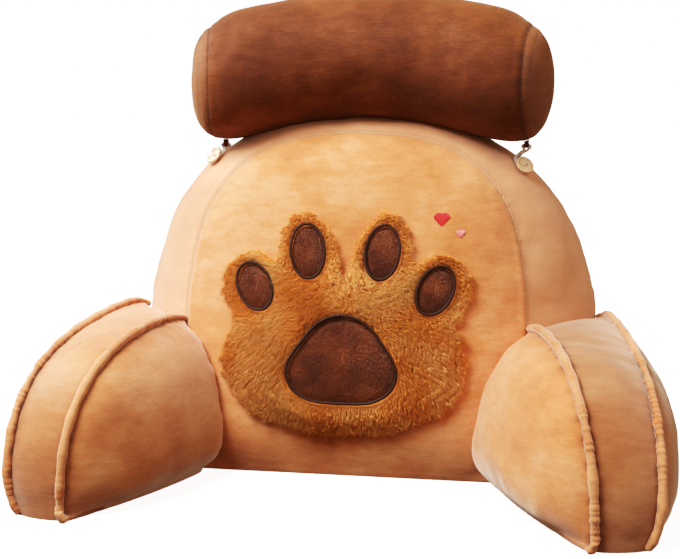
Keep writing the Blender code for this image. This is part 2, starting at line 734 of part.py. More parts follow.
def tilted_ellipse(half_width, half_height, tilt, count=20):
    turn = math.radians(tilt)
    points = []
    for k in range(count):
        angle = 2 * math.pi * k / count
        x, z = half_width * math.cos(angle), half_height * math.sin(angle)
        across = x * math.cos(turn) - z * math.sin(turn)
        points.append((across, x * math.sin(turn) + z * math.cos(turn)))
    return points


def palm_outline(half_width, half_height, count=28):
    """A rounded three-lobed pad, wide at its foot."""
    points = []
    for k in range(count):
        angle = 2 * math.pi * k / count
        lobe = 1 + PALM_PAD_LOBE * math.cos(3 * (angle + math.pi / 6))
        points.append((half_width * lobe * math.cos(angle), half_height * lobe * math.sin(angle)))
    return points


def grown_outline(outline, margin):
    grown = []
    for x, z in outline:
        reach = math.hypot(x, z)
        grown.append((x * (1 + margin / reach), z * (1 + margin / reach)))
    return grown


def build_pad(name, panel_tree, centre, outline, margin=0.0):
    """A pad, or with a margin the guide that makes room for it in the pile."""
    low = PILE_FLOOR + (0.0 if margin else PAD_LIFT)
    high = PAD_CUT_HEIGHT if margin else PILE_FLOOR + PAD_THICKNESS

    def under(share, k, x, z):
        return low

    def over(share, k, x, z):
        return high + (0.0 if margin else PAD_CROWN * dome(share))

    shares = (0.6, 1.0) if margin else (0.5, 0.85, 1.0)
    bm = surface_slab(panel_tree, grown_outline(outline, margin), centre, under, over, shares)
    return as_object(name, bm, PAD_PILE, 60)


# ---------------------------------------------------------------- assembly
def main():
    for obj in list(bpy.data.objects):
        bpy.data.objects.remove(obj)
    backrest = build_backrest()
    bpy.context.view_layer.update()
    backrest_guide = grown_copy(backrest, "backrest_guide", SEAT_GAP)
    panel_tree = tree_of(backrest)
    bolster = build_bolster(backrest_guide)
    bpy.context.view_layer.update()
    bolster_guide = grown_copy(bolster, "bolster_guide", SEAT_GAP)
    bolster_tree = tree_of(bolster)

    for side, word in ((-1, "left"), (1, "right")):
        arm = build_arm(f"arm_{word}", side, backrest_guide)
        neighbours = (backrest_guide, grown_copy(arm, f"arm_{word}_guide", SEAT_GAP))
        build_welt(
            f"welt_{word}_inner", INNER, side, -INNER.forward, INNER_REAR_ROWS, INNER_FOOT_ROWS,
            TAIL_RUNS, neighbours,
        )
        build_welt(
            f"welt_{word}_outer", OUTER, side, -OUTER.out, OUTER_REAR_ROWS, OUTER_FOOT_ROWS,
            (), neighbours,
        )
        top = tab_centre(side, bolster_tree)
        frame = button_frame(panel_tree, side, top)
        build_button(f"button_{word}", frame)
        build_thread(f"button_thread_{word}", frame)
        build_elastic(f"elastic_loop_{word}", frame, top)
        build_tab(f"bolster_tab_{word}", top, bolster_guide)

    name, x, z, half_width, half_height = PALM_PAD
    pads = [(name, (PAW_CENTRE[0] + x, z), palm_outline(half_width, half_height))]
    for name, x, z, half_width, half_height, tilt in TOE_PAD_ROWS:
        outline = tilted_ellipse(half_width, half_height, tilt)
        pads.append((name, (PAW_CENTRE[0] + x, z), outline))
    guides = []
    for name, centre, outline in pads:
        build_pad(name, panel_tree, centre, outline)
        guides.append(guide(build_pad(f"{name}_guide", panel_tree, centre, outline, PAD_ROOM)))
    build_paw(panel_tree, guides)


main()
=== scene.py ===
"""The looks of a plush reading pillow with arms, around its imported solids.

Metres, +Z up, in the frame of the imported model: the pillow faces -Y and stands on z = 0.
"""

import math

import bmesh
import bpy
import numpy as np
from mathutils import Matrix, Vector, geometry, kdtree, noise
from mathutils.bvhtree import BVHTree


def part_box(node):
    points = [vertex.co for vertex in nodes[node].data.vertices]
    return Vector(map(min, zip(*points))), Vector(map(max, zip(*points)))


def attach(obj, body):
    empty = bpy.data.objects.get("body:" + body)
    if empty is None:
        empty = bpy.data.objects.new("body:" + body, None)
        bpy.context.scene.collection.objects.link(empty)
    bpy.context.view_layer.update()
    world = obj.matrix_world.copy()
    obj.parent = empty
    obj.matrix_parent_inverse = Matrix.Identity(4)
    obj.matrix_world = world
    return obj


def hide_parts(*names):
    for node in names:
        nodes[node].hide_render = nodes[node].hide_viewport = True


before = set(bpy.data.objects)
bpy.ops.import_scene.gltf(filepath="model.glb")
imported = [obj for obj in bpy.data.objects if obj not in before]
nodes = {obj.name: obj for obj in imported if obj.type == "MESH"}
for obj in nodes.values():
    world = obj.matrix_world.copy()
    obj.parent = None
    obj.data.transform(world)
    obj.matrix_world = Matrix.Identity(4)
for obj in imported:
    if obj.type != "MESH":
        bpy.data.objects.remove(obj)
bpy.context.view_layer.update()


# ------------------------------------------------------------------ studio
# A pale floor in a white room, a large soft light from the upper left, a weaker one behind it
# and another from the right. The camera stands a little right of the middle, just above the
# pillow's top.
VIEW_AZIMUTH, VIEW_ELEVATION = math.radians(9.07), math.radians(9.45)
VIEW_DISTANCE, VIEW_LENS, VIEW_SENSOR = 1.354, 66.18, 36.0
VIEW_TARGET = Vector((-0.008, -0.09, 0.223))
FLOOR_RADIUS, ROOM_RADIUS = 9.0, 30.0
FLOOR_COLOUR, ROOM_COLOUR = (0.60, 0.59, 0.58), (0.0, 0.0, 0.0)
GLOW_NEAR, GLOW_FAR = (0.80, 0.79, 0.78), (1.0, 1.0, 1.0)
GLOW_RUN = (0.35, 1.6)  # between these distances from the pillow the glow goes over to white
LIGHT_SIZE = 0.9
LIGHTS = {  # place, power
    "key": (Vector((-0.85, -0.76, 1.60)), 80.0),
    "rim": (Vector((-1.30, 0.40, 0.90)), 20.0),
    "fill": (Vector((1.15, -0.60, 1.15)), 9.5),
}
WHITE = 2.5  # the light that the picture shows as white
RESPONSE = ((0.05, 0.033), (0.10, 0.078), (0.20, 0.18), (0.50, 0.45), (1.0, 0.70), (1.6, 0.86))
LIGHT_BELOW, LIGHT_LEVEL, LIGHT_ABOVE = (0.090, 0.040, 0.016), (0.34, 0.230, 0.14), (0.47, 0.38, 0.32)
BELOW, LEVEL, ABOVE = -0.16, 0.0, 0.7  # the heights of a direction that these three belong to
LIGHT_LEFT, LIGHT_RIGHT = (1.2, 1.2, 1.2), (1.25, 1.08, 0.80)
LEFT, RIGHT = -0.8, 0.6


class Wire:
    """A socket of a shader tree. Wires and numbers mix in ordinary expressions."""

    def __init__(self, tree, socket=None):
        self.tree, self.socket = tree, socket

    def node(self, kind, settings=None, inputs=None, output=0):
        """A new node: its settings first, then the values or links of its sockets."""
        made = self.tree.nodes.new("ShaderNode" + kind)
        for name, value in (settings or {}).items():
            setattr(made, name, value)
        open_sockets = [s for s in made.inputs if s.enabled]
        for key, value in (inputs or {}).items():
            feed(next(s for index, s in enumerate(open_sockets) if key in (index, s.name)), value)
        return Wire(self.tree, made.outputs[output])

    def place(self):
        """The piece's own coordinates."""
        return self.node("TexCoord", output=3)

    def marked(self, name):
        """The numbers that mark() gave the piece's vertices."""
        return self.node("Attribute", {"attribute_name": name}, output=2)

    def axis(self, index):
        return self.node("SeparateXYZ", {}, {0: self}, output=index)

    def maths(self, operation, *values):
        return self.node("Math", {"operation": operation}, dict(enumerate(values)))

    def mix(self, factor, a, b, blend="MIX"):
        """Two colours mixed, as wires or as red, green and blue."""
        a, b = (c if isinstance(c, Wire) else (*c, 1.0) for c in (a, b))
        settings = {"data_type": "RGBA", "blend_type": blend}
        return self.node("Mix", settings, {"Factor": factor, "A": a, "B": b}, output=2)

    def noise(self, place, scale, detail=2.0, roughness=0.5):
        inputs = {"Vector": place, "Scale": scale, "Detail": detail, "Roughness": roughness}
        return self.node("TexNoise", {}, inputs)

    def stretched(self, place, scale):
        return self.node("Mapping", {}, {"Vector": place, "Scale": scale})

    def bump(self, strength, distance, height):
        inputs = {"Strength": strength, "Distance": distance, "Height": height}
        return self.node("Bump", {}, inputs)

    def between(self, low, high, out_low=0.0, out_high=1.0):
        """The wire's range low to high, mapped smoothly to another and held at its ends."""
        inputs = {0: self, 1: low, 2: high, 3: out_low, 4: out_high}
        return self.node("MapRange", {"interpolation_type": "SMOOTHSTEP"}, inputs)

    def __add__(self, other):
        return self.maths("ADD", self, other)

    def __sub__(self, other):
        return self.maths("SUBTRACT", self, other)

    def __rsub__(self, other):
        return self.maths("SUBTRACT", other, self)

    def __mul__(self, other):
        return self.maths("MULTIPLY", self, other)

    __radd__, __rmul__ = __add__, __mul__


def feed(socket, value):
    """Gives a socket a wire or a value."""
    if isinstance(value, Wire):
        value.tree.links.new(value.socket, socket)
    else:
        socket.default_value = value


def new_material(name):
    """A material, its shader's sockets and a wire of its tree."""
    made = bpy.data.materials.new(name)
    made.use_nodes = True
    return made, made.node_tree.nodes["Principled BSDF"].inputs, Wire(made.node_tree)


def feed_all(sockets, values):
    for name, value in values.items():
        feed(sockets[name], value)


def placed(name, data):
    """A new object of a mesh, a curve, a light or a camera."""
    made = bpy.data.objects.new(name, data)
    bpy.context.scene.collection.objects.link(made)
    return made


def mesh_piece(name, bm):
    """A new object of a finished bmesh."""
    mesh = bpy.data.meshes.new(name)
    bm.to_mesh(mesh)
    bm.free()
    return placed(name, mesh)


def build_studio():
    scene = bpy.context.scene
    view = scene.view_settings
    view.view_transform = "Standard"
    view.use_curve_mapping = True
    view.curve_mapping.white_level = (WHITE, WHITE, WHITE)
    for light, shown in RESPONSE:
        view.curve_mapping.curves[3].points.new(light / WHITE, shown)
    view.curve_mapping.update()
    level = math.cos(VIEW_ELEVATION)
    back = Vector((math.sin(VIEW_AZIMUTH) * level, -math.cos(VIEW_AZIMUTH) * level,
                   math.sin(VIEW_ELEVATION)))
    camera = placed("camera", bpy.data.cameras.new("camera"))
    camera.data.lens, camera.data.sensor_width = VIEW_LENS, VIEW_SENSOR
    camera.location = VIEW_TARGET + back * VIEW_DISTANCE
    camera.rotation_euler = back.to_track_quat("Z", "Y").to_euler()
    scene.camera = camera

    for name, (place, power) in LIGHTS.items():
        light = placed(name, bpy.data.lights.new(name, "AREA"))
        light.data.size, light.data.energy = LIGHT_SIZE, power
        light.location = place
        light.rotation_euler = (place - VIEW_TARGET).to_track_quat("Z", "Y").to_euler()

    # The room's own light is soft: brightest from above, weak from below and warm on the right.
    world = bpy.data.worlds.new("room")
    world.use_nodes = True
    scene.world = world
    wire = Wire(world.node_tree)
    direction = wire.node("TexCoord")
    height, aside = direction.axis(2), direction.axis(0)
    sky = wire.mix(height.between(BELOW, LEVEL), LIGHT_BELOW, LIGHT_LEVEL)
    sky = wire.mix(height.between(LEVEL, ABOVE), sky, LIGHT_ABOVE)
    sides = wire.mix(aside.between(LEFT, RIGHT), LIGHT_LEFT, LIGHT_RIGHT)
    sky = wire.mix(1.0, sky, sides, "MULTIPLY")
    feed(world.node_tree.nodes["Background"].inputs["Color"], sky)


def stage_piece(name, bm, colour):
    """A matt piece of the studio that glows for the camera, but not on the pillow."""
    made = mesh_piece(name, bm)
    paint, sockets, wire = new_material(f"{name}_paint")
    away = wire.node("VectorMath", {"operation": "LENGTH"}, {0: wire.place()}, output=1)
    feed_all(sockets, {
        "Base Color": (*colour, 1.0),
        "Roughness": 0.95,
        "Emission Color": wire.mix(away.between(*GLOW_RUN), GLOW_NEAR, GLOW_FAR),
        "Emission Strength": WHITE,
    })
    made.data.materials.append(paint)
    made.visible_diffuse = made.visible_glossy = False
    return made


def build_floor_and_room():
    bm = bmesh.new()
    bmesh.ops.create_circle(bm, cap_ends=True, segments=64, radius=FLOOR_RADIUS)
    stage_piece("floor", bm, FLOOR_COLOUR)
    bm = bmesh.new()
    bmesh.ops.create_icosphere(bm, subdivisions=4, radius=ROOM_RADIUS)
    room = stage_piece("white_room", bm, ROOM_COLOUR)
    room.visible_shadow = False


build_studio()
build_floor_and_room()


# ------------------------------------------------------------------ backrest
# The back cushion: one stuffed cover of tan short-pile velvet, sewn from a front panel, a
# larger back panel and the strip that joins them. Both panel seams pull a groove into it.
TAN, TAN_LIGHT, TAN_DARK = (0.63, 0.208, 0.066), (0.71, 0.285, 0.118), (0.52, 0.150, 0.042)
# TAN_SHEEN tints the shader's sheen. The second colour is a painted sheen, mixed into the cloth where
# it is marked lit.
TAN_SHEEN, PAINTED_SHEEN_TINT = (1.0, 0.84, 0.68), (0.76, 0.385, 0.225)
# Painted shade: the cloth colour is darkened with this along its seams and in the welts' tucks and
# gaps.
SEAM_SHADE_TINT = (0.26, 0.17, 0.12)
PANEL_SEAMS = ((-0.077, 0.210), (0.066, 0.080))  # each lies in a plane: its y on the floor, its slope
PANEL_HEART = 0.15  # a height that both seams run round
BACK_VOXEL, BACK_INSET = 0.0066, 0.0010
BACK_CREASES = {"depth": 0.0013, "width": 0.0028, "tucks": 0.0004, "reach": 0.016, "seed": 1.0}
EASE_ROUNDS, CALM_ROUNDS = 22, 4  # of evening out, after the remesh and after the stuffing
TOUCHING = 1e-5
STUFFING, SLACK, BULGE = 4.0, 0.01, 0.004  # pressure inside, stretch of the cloth, largest bulge
STUFFING_STEPS = 20
SEAM_STEP = 0.001  # between the points that a seam is read at
SEAM_HOLD, SEAM_GRIP = 0.011, 0.007  # round a seam, where the cover keeps to it and is held by it
FOOT_DROP = 0.02  # how far the sides first go on below the floor, to be cut off level with it
FLOOR_BAND = 0.004  # the cloth within this height lies flat on what the pillow stands on
FOOT_CALM = 0.02  # below this height the tucks and lumps fade out
TUCKS, FINE_TUCKS, TUCK_SPELLS, SHADOW_DASHES = 95, 210, 14, 85  # to a metre of seam
LUMPS, FINE_LUMPS, LUMP_HEIGHT = 21, 47, 0.0009  # to a metre of cloth, and their height
STITCH_PITCH, STITCH_LENGTH, STITCH_RADIUS, STITCH_SEAT = 0.0030, 0.0026, 0.00036, 0.0001
THREAD = (0.80, 0.55, 0.33)
NAP_PATCHES, NAP_STREAKS, NAP_RIBS, NAP_GRAIN = 11, 9, (160, 160, 800), 850


def clamp(value, low=0.0, high=1.0):
    return max(low, min(high, value))


def copy_of(name, node):
    """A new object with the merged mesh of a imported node."""
    bm = bmesh.new()
    bm.from_mesh(nodes[node].data)
    bmesh.ops.remove_doubles(bm, verts=bm.verts, dist=TOUCHING)
    return mesh_piece(name, bm)


def lower_foot(piece):
    """Carries the sides of a standing cover on below the floor."""
    for vertex in piece.data.vertices:
        if vertex.co.z < TOUCHING:
            vertex.co.z = -FOOT_DROP


def trim_foot(piece):
    """Cuts a cover off level with the floor and closes it there, with a crisp edge."""
    bm = bmesh.new()
    bm.from_mesh(piece.data)
    bmesh.ops.bisect_plane(bm, geom=[*bm.verts, *bm.edges, *bm.faces], plane_co=(0, 0, 0),
                           plane_no=(0, 0, 1), clear_inner=True)
    rim = [edge for edge in bm.edges if edge.is_boundary]
    bmesh.ops.holes_fill(bm, edges=rim)
    bmesh.ops.recalc_face_normals(bm, faces=bm.faces)
    for edge in rim:
        edge.smooth = False
    bm.to_mesh(piece.data)
    bm.free()


def shown_mesh(made):
    """A new mesh of what an object shows: a curve, or a mesh as its modifiers leave it."""
    bpy.context.view_layer.update()
    shown = made.evaluated_get(bpy.context.evaluated_depsgraph_get())
    return bpy.data.meshes.new_from_object(shown)


def apply_modifiers(piece):
    mesh = shown_mesh(piece)
    piece.modifiers.clear()
    piece.data = mesh
    mesh.name = piece.name


def surface_of(piece):
    """The piece's mesh, ready to be asked for its nearest point or what a ray meets."""
    bm = bmesh.new()
    bm.from_mesh(piece.data)
    tree = BVHTree.FromBMesh(bm)
    bm.free()
    return tree


def even_out(piece, field, rounds):
    """A vector for each vertex of the piece, averaged with its neighbours' in each round."""
    ends = np.array([edge.vertices[:] for edge in piece.data.edges])
    count = np.bincount(ends.ravel(), minlength=len(field))[:, None]
    for _ in range(rounds):
        total = np.zeros_like(field)
        np.add.at(total, ends[:, 0], field[ends[:, 1]])
        np.add.at(total, ends[:, 1], field[ends[:, 0]])
        field = 0.5 * field + 0.5 * total / count
    return field


def remesh(piece, voxel, rounds):
    """Even quads all over the piece, with its edges eased and the size this takes given back."""
    packed = surface_of(piece)
    modifier = piece.modifiers.new("even", "REMESH")
    modifier.mode, modifier.voxel_size = "VOXEL", voxel
    apply_modifiers(piece)
    bm = bmesh.new()
    bm.from_mesh(piece.data)
    for _ in range(rounds):
        bmesh.ops.smooth_vert(bm, verts=bm.verts, factor=0.5, use_axis_x=True, use_axis_y=True,
                              use_axis_z=True)
    bm.to_mesh(piece.data)
    bm.free()
    lost = np.array([packed.find_nearest(v.co)[0] - v.co for v in piece.data.vertices])
    for vertex, step in zip(piece.data.vertices, even_out(piece, lost, rounds)):
        vertex.co += Vector(step)
    return piece


def line_tree(lines):
    """A search tree over the points of several lines, which finds (place, index, distance)."""
    points = [point for line in lines for point in line]
    tree = kdtree.KDTree(len(points))
    for index, point in enumerate(points):
        tree.insert(point, index)
    tree.balance()
    return tree


def blow_up(piece, seams, inset):
    """Presses the cover out from inside, held at its seams and where it stands on the floor."""
    mesh = piece.data
    tree = line_tree(seams)
    grip = [v.co.z < FLOOR_BAND or tree.find(v.co)[2] < SEAM_GRIP for v in mesh.vertices]
    normals = [v.normal.copy() for v in mesh.vertices]
    for vertex, normal, held in zip(mesh.vertices, normals, grip):
        if not held:
            vertex.co -= normal * inset
    start = [v.co.copy() for v in mesh.vertices]
    group = piece.vertex_groups.new(name="held")
    group.add([index for index, held in enumerate(grip) if held], 1.0, "REPLACE")
    cloth = piece.modifiers.new("stuffing", "CLOTH")
    cloth.settings.vertex_group_mass = group.name
    cloth.settings.use_pressure = True
    cloth.settings.uniform_pressure_force = STUFFING
    cloth.settings.shrink_min = -SLACK
    cloth.settings.effector_weights.gravity = 0.0
    cloth.point_cache.frame_start, cloth.point_cache.frame_end = 1, STUFFING_STEPS
    for step in range(1, STUFFING_STEPS + 1):
        bpy.context.scene.frame_set(step)
    shown = piece.evaluated_get(bpy.context.evaluated_depsgraph_get())
    blown = [v.co.copy() for v in shown.data.vertices]
    piece.modifiers.clear()
    piece.vertex_groups.clear()
    bpy.context.scene.frame_set(1)
    moved = np.array([now - was for was, now in zip(start, blown)])
    far = np.linalg.norm(moved, axis=1)[:, None]
    moved *= np.minimum(1.0, BULGE / np.maximum(far, 1e-9))
    for vertex, was, step in zip(mesh.vertices, start, even_out(piece, moved, CALM_ROUNDS)):
        vertex.co = was + Vector(step)


def subdivide(piece):
    modifier = piece.modifiers.new("finer", "SUBSURF")
    modifier.levels = modifier.render_levels = 1
    apply_modifiers(piece)


def mesh_of(curve):
    """The mesh that a curve draws."""
    holder = placed(curve.name, curve)
    mesh = shown_mesh(holder)
    bpy.data.objects.remove(holder)
    return mesh


def even_line(points, closed=False, step=SEAM_STEP):
    """A smooth line through the points, as Vectors a step apart."""
    curve = bpy.data.curves.new("line", "CURVE")
    curve.dimensions = "3D"
    spline = curve.splines.new("BEZIER")
    spline.bezier_points.add(len(points) - 1)
    for bezier, point in zip(spline.bezier_points, points):
        bezier.co = point
        bezier.handle_left_type = bezier.handle_right_type = "AUTO"
    spline.use_cyclic_u = closed
    curve.resolution_u = 24
    mesh = mesh_of(curve)
    smooth = np.array([v.co for v in mesh.vertices])
    bpy.data.meshes.remove(mesh)
    if closed:
        smooth = np.concatenate([smooth, smooth[:1]])
    lengths = np.concatenate([[0.0], np.cumsum(np.linalg.norm(np.diff(smooth, axis=0), axis=1))])
    at = np.linspace(0.0, lengths[-1], max(2, int(lengths[-1] / step)) + 1)
    if closed:
        at = at[:-1]
    return [Vector([np.interp(a, lengths, smooth[:, k]) for k in range(3)]) for a in at]


def mark(piece, name, values):
    """A number for each vertex, which the piece's material reads."""
    layer = piece.data.attributes.new(name, "FLOAT", "POINT")
    layer.data.foreach_set("value", np.array(values, np.float32))


def press_seams(piece, packed, seams, depth, width, tucks, reach, seed, shadow_dashes=0.0):
    """Draws sewn lines into a cover, with small tucks across them and an uneven filling."""
    mesh = piece.data
    tree = line_tree(seams)
    for vertex in mesh.vertices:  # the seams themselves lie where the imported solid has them
        away = tree.find(vertex.co)[2]
        if away < SEAM_HOLD:
            place = packed.find_nearest(vertex.co)[0]
            vertex.co = vertex.co.lerp(place, (1 - away / SEAM_HOLD) ** 0.5)
    mesh.update()
    painted_shading = []
    normals = [v.normal.copy() for v in mesh.vertices]
    for vertex, normal in zip(mesh.vertices, normals):
        _, along, away = tree.find(vertex.co)
        run = along * SEAM_STEP
        folds = noise.noise((run * TUCKS, seed, 0.0)) + 0.6 * noise.noise((run * FINE_TUCKS, seed, 4.0))
        strength = max(0.0, 0.5 + noise.noise((run * TUCK_SPELLS, seed, 9.0)))
        tuck = tucks * 2 * folds * strength * math.exp(-away / reach)
        swell = LUMP_HEIGHT * (noise.noise(vertex.co * LUMPS + Vector((seed, 0, 0)))
                               + 0.5 * noise.noise(vertex.co * FINE_LUMPS))
        above = clamp(vertex.co.z / FOOT_CALM)
        vertex.co += normal * ((tuck + swell) * above - depth * math.exp(-((away / width) ** 2)))
        # Painted shade: each vertex gets a mark that is strongest on the seam and comes in uneven
        # darker dashes. The material uses it to darken the cloth where shade falls in the groove.
        shadow_gap = shadow_dashes * clamp(2.4 * noise.noise((run * SHADOW_DASHES, seed, 2.0)))
        painted_shading.append(min(1.2, (0.5 + shadow_gap) * math.exp(-((away / (width * 1.5)) ** 2))))
    mark(piece, "seam_shade", painted_shading)
    mesh.shade_smooth()


def finish_piece(piece, material, node=None):
    """Gives a piece its material and slot, and says which node it replaces."""
    piece.data.materials.append(material)
    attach(piece, "root")
    if node:
        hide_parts(node)


def stuffed_cover(node, seams, voxel, inset, creases, nap, standing=True):
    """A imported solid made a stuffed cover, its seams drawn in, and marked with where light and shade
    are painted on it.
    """
    piece = copy_of(f"{node}_cover", node)
    if standing:
        lower_foot(piece)
    packed = surface_of(piece)
    remesh(piece, voxel, EASE_ROUNDS)
    blow_up(piece, seams, inset)
    subdivide(piece)
    press_seams(piece, packed, seams, **creases)
    # Painted light and shade: how much lighter or darker the nap function paints each place.
    mark(piece, "painted_light", [nap(vertex.co) for vertex in piece.data.vertices])
    if standing:
        trim_foot(piece)
    return piece


def square_to(way, normal):
    """The part of a direction that lies square to another, one long."""
    return (way - normal * way.dot(normal)).normalized()


def seat_on(place, normal, ahead):
    """A matrix at a place on a surface: Z out of it, X the way that is ahead."""
    ahead = square_to(ahead, normal)
    seat = Matrix((ahead, normal.cross(ahead), normal)).transposed().to_4x4()
    seat.translation = place
    return seat


def sew(name, seam, surface, colour=THREAD):
    """Separate stitches of thread along a seam, each laid on the surface under it."""
    step = round(STITCH_PITCH / SEAM_STEP)
    size = Matrix.Diagonal((STITCH_LENGTH / 2, STITCH_RADIUS, STITCH_RADIUS, 1.0))
    bm = bmesh.new()
    for here, ahead in zip(seam[:-step:step], seam[step::step]):
        place, normal, _, _ = surface.find_nearest(here)
        turn = seat_on(place + normal * STITCH_SEAT, normal, (ahead - here).normalized())
        bmesh.ops.create_uvsphere(bm, u_segments=5, v_segments=4, radius=1.0,
                                  matrix=turn @ size @ Matrix.Rotation(math.pi / 2, 4, "Y"))
    stitches = mesh_piece(name, bm)
    stitches.data.shade_smooth()
    finish_piece(stitches, thread_material(f"{name}_thread", colour))


def thread_material(name, colour, sheen=0.3):
    """Twisted thread: fine ribs and a slight change of tone."""
    made, sockets, wire = new_material(name)
    place = wire.place()
    tone, ribs = wire.noise(place, 300), wire.noise(place, 2600, 1.0)
    feed_all(sockets, {
        "Base Color": wire.mix(tone, [c * 0.75 for c in colour], [min(1, c * 1.2) for c in colour]),
        "Normal": wire.bump(0.4, 0.0002, ribs),
        "Roughness": 0.6,
        "Sheen Weight": sheen,
        "Specular IOR Level": 0.25,
    })
    return made


def velvet(name, colour, light, dark, sheen, sheen_weight, streaks=(5, 5, 16), mottle=0.12):
    """Short velvet pile: brushed patches of lighter and darker nap, fine ribs and a soft sheen."""
    made, sockets, wire = new_material(name)
    place = wire.place()
    patches = wire.noise(place, NAP_PATCHES, 3.0, 0.55)
    brushed = wire.noise(wire.stretched(place, streaks), NAP_STREAKS, 4.0, 0.6)
    ribs = wire.noise(wire.stretched(place, NAP_RIBS), 1.0, 2.0)
    grain = wire.noise(place, NAP_GRAIN, 2.0)
    nap = patches.between(0.38, 0.62) * 0.68 + brushed.between(0.30, 0.70) * 0.32
    tinted = wire.mix(nap.between(0.0, 0.55), dark, colour)
    tinted = wire.mix(nap.between(0.5, 1.0), tinted, light)
    # Painted light and shade: a mark of 1 paints the cloth lighter and pinker, a sheen. A mark of -1
    # paints it darker, a shade.
    painted_light = wire.marked("painted_light")  # 1 catches the light, -1 loses it
    speckle = (grain * 0.5 + ribs * 0.5).between(0.3, 0.7, 1 - mottle, 1 + mottle)
    speckle = speckle * painted_light.between(-1.0, 0.0, 0.55, 1.0)
    shade = wire.node("CombineColor", {}, {0: speckle, 1: speckle, 2: speckle})
    tinted = wire.mix(1.0, tinted, shade, "MULTIPLY")
    # Painted sheen where the mark is above 0.
    tinted = wire.mix(painted_light.between(0.0, 1.0, 0.0, 0.38), tinted, PAINTED_SHEEN_TINT)
    # Painted shade along the seams and in the welts' tucks and gaps, from the marks that press_seams
    # and build_welt give.
    seam_shaded = wire.mix(1.0, tinted, SEAM_SHADE_TINT, "MULTIPLY")
    feed_all(sockets, {
        "Base Color": wire.mix(wire.marked("seam_shade") * 0.75, tinted, seam_shaded),
        "Roughness": nap * -0.12 + 0.82,
        "Normal": wire.bump(0.3, 0.0005, grain * 0.6 + ribs * 0.4 + brushed * 0.3),
        "Sheen Weight": sheen_weight,
        "Sheen Roughness": 0.5,
        "Sheen Tint": (*sheen, 1.0),
        "Specular IOR Level": 0.2,
    })
    return made


tan_velvet = velvet("tan_velvet", TAN, TAN_LIGHT, TAN_DARK, TAN_SHEEN, 0.85)


def panel_seam(foot_y, slope):
    """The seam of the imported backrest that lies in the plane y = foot_y + slope z, as a loop."""
    found = {}
    for vertex in nodes["backrest"].data.vertices:
        x, y, z = vertex.co
        if abs(y - foot_y - slope * z) < 2 * TOUCHING:
            found[(round(x, 4), round(z, 4))] = vertex.co.copy()
    loop = sorted(found.values(), key=lambda p: math.atan2(p.z - PANEL_HEART, p.x))
    return even_line(loop, closed=True)


def strip_painted_sheen(place):
    """The strip between both panel seams is marked for a painted sheen, lighter and pinker than the
    panels.
    """
    front, back = (place.y - foot - slope * place.z for foot, slope in PANEL_SEAMS)
    return float(front > 0 > back)


panel_seams = [panel_seam(*plane) for plane in PANEL_SEAMS]
backrest = stuffed_cover("backrest", panel_seams, BACK_VOXEL, BACK_INSET, BACK_CREASES, strip_painted_sheen)
finish_piece(backrest, tan_velvet, "backrest")
backrest_surface = surface_of(backrest)
for index, seam in enumerate(panel_seams):
    sew(f"panel_stitches_{index + 1}", seam, backrest_surface)


# ------------------------------------------------------------------ arms
# Two stuffed arms of the same velvet. Each has an inner and an outer side panel, joined by a
# band that runs over its top and down its front.
ARM_SEAMS = {  # plan point at the backrest, plan point at the front, height, flare, turn
    "inner": (Vector((0.198, -0.038)), Vector((0.262, -0.271)), 0.170, 0.046, 0.002),
    "outer": (Vector((0.280, 0.070)), Vector((0.323, -0.257)), 0.167, 0.012, 0.012),
}
ARM_POWER, TURN_RISE, ARM_SEAM_PARTS = 3.0, 0.045, 32
REAR_DROOP, DROOP_RUN = 0.005, 0.08  # the arm's top dips where it meets the backrest
ARM_VOXEL, ARM_INSET = 0.0060, 0.0006
ARM_CREASES = {"depth": 0.0004, "width": 0.0045, "tucks": 0.0007, "reach": 0.018, "shadow_dashes": 1.2}
# Painted shade: the band and the panel outside the inner seam are painted darker up to a height, fading
# above it, and so is the left arm's inner panel.
SIDES = {"left": -1, "right": 1}
OUTER_PAINTED_SHADE = {"left": (-0.70, 0.18), "right": (-1.00, 0.30)}  # outside the inner seam, up to a height
INNER_PAINTED_SHADE = {"left": -0.55, "right": 0.0}
PAINTED_SHADE_RUN = 0.06


def arm_seam(which, side):
    """A seam of an arm, from the backrest forward along the top and down to the floor."""
    rear, front, height, flare, turn = ARM_SEAMS[which]
    length = (front - rear).length
    forward = (front - rear).normalized()
    out = Vector((forward.y, -forward.x)) * (1 if which == "inner" else -1)
    points = []
    for k in range(ARM_SEAM_PARTS + 1):
        angle = math.pi / 2 * k / ARM_SEAM_PARTS
        s = length * math.sin(angle) ** (2 / ARM_POWER)
        z = height * math.cos(angle) ** (2 / ARM_POWER)
        z -= REAR_DROOP * max(0.0, 1 - s / DROOP_RUN) ** 2
        aside = flare * (1 - (s / length) ** 2) * (1 - z / height)
        aside -= turn * (s / length) ** 4 * max(0.0, 1 - z / TURN_RISE) ** 2
        plan = rear + forward * s + out * aside
        points.append((side * plan.x, plan.y, z))
    return even_line(points)


def build_arm(word, inner, outer):
    tree = line_tree([inner])

    def nap(place):
        """The painted shade on the inner panel, and on the band and the panel outside its seam."""
        near, index, _ = tree.find(place)
        across = outer[min(len(outer) - 1, index * len(outer) // len(inner))] - near
        painted_light, height = OUTER_PAINTED_SHADE[word]
        painted_light *= clamp((height - place.z) / PAINTED_SHADE_RUN)
        return painted_light if (place - near).dot(across) > 0 else INNER_PAINTED_SHADE[word]

    creases = {**ARM_CREASES, "seed": 4.0 + SIDES[word]}
    piece = stuffed_cover(f"arm_{word}", (inner, outer), ARM_VOXEL, ARM_INSET, creases, nap)
    finish_piece(piece, tan_velvet, f"arm_{word}")


arm_seams = {
    (word, which): arm_seam(which, side) for word, side in SIDES.items() for which in ARM_SEAMS
}
for word in SIDES:
    build_arm(word, arm_seams[word, "inner"], arm_seams[word, "outer"])


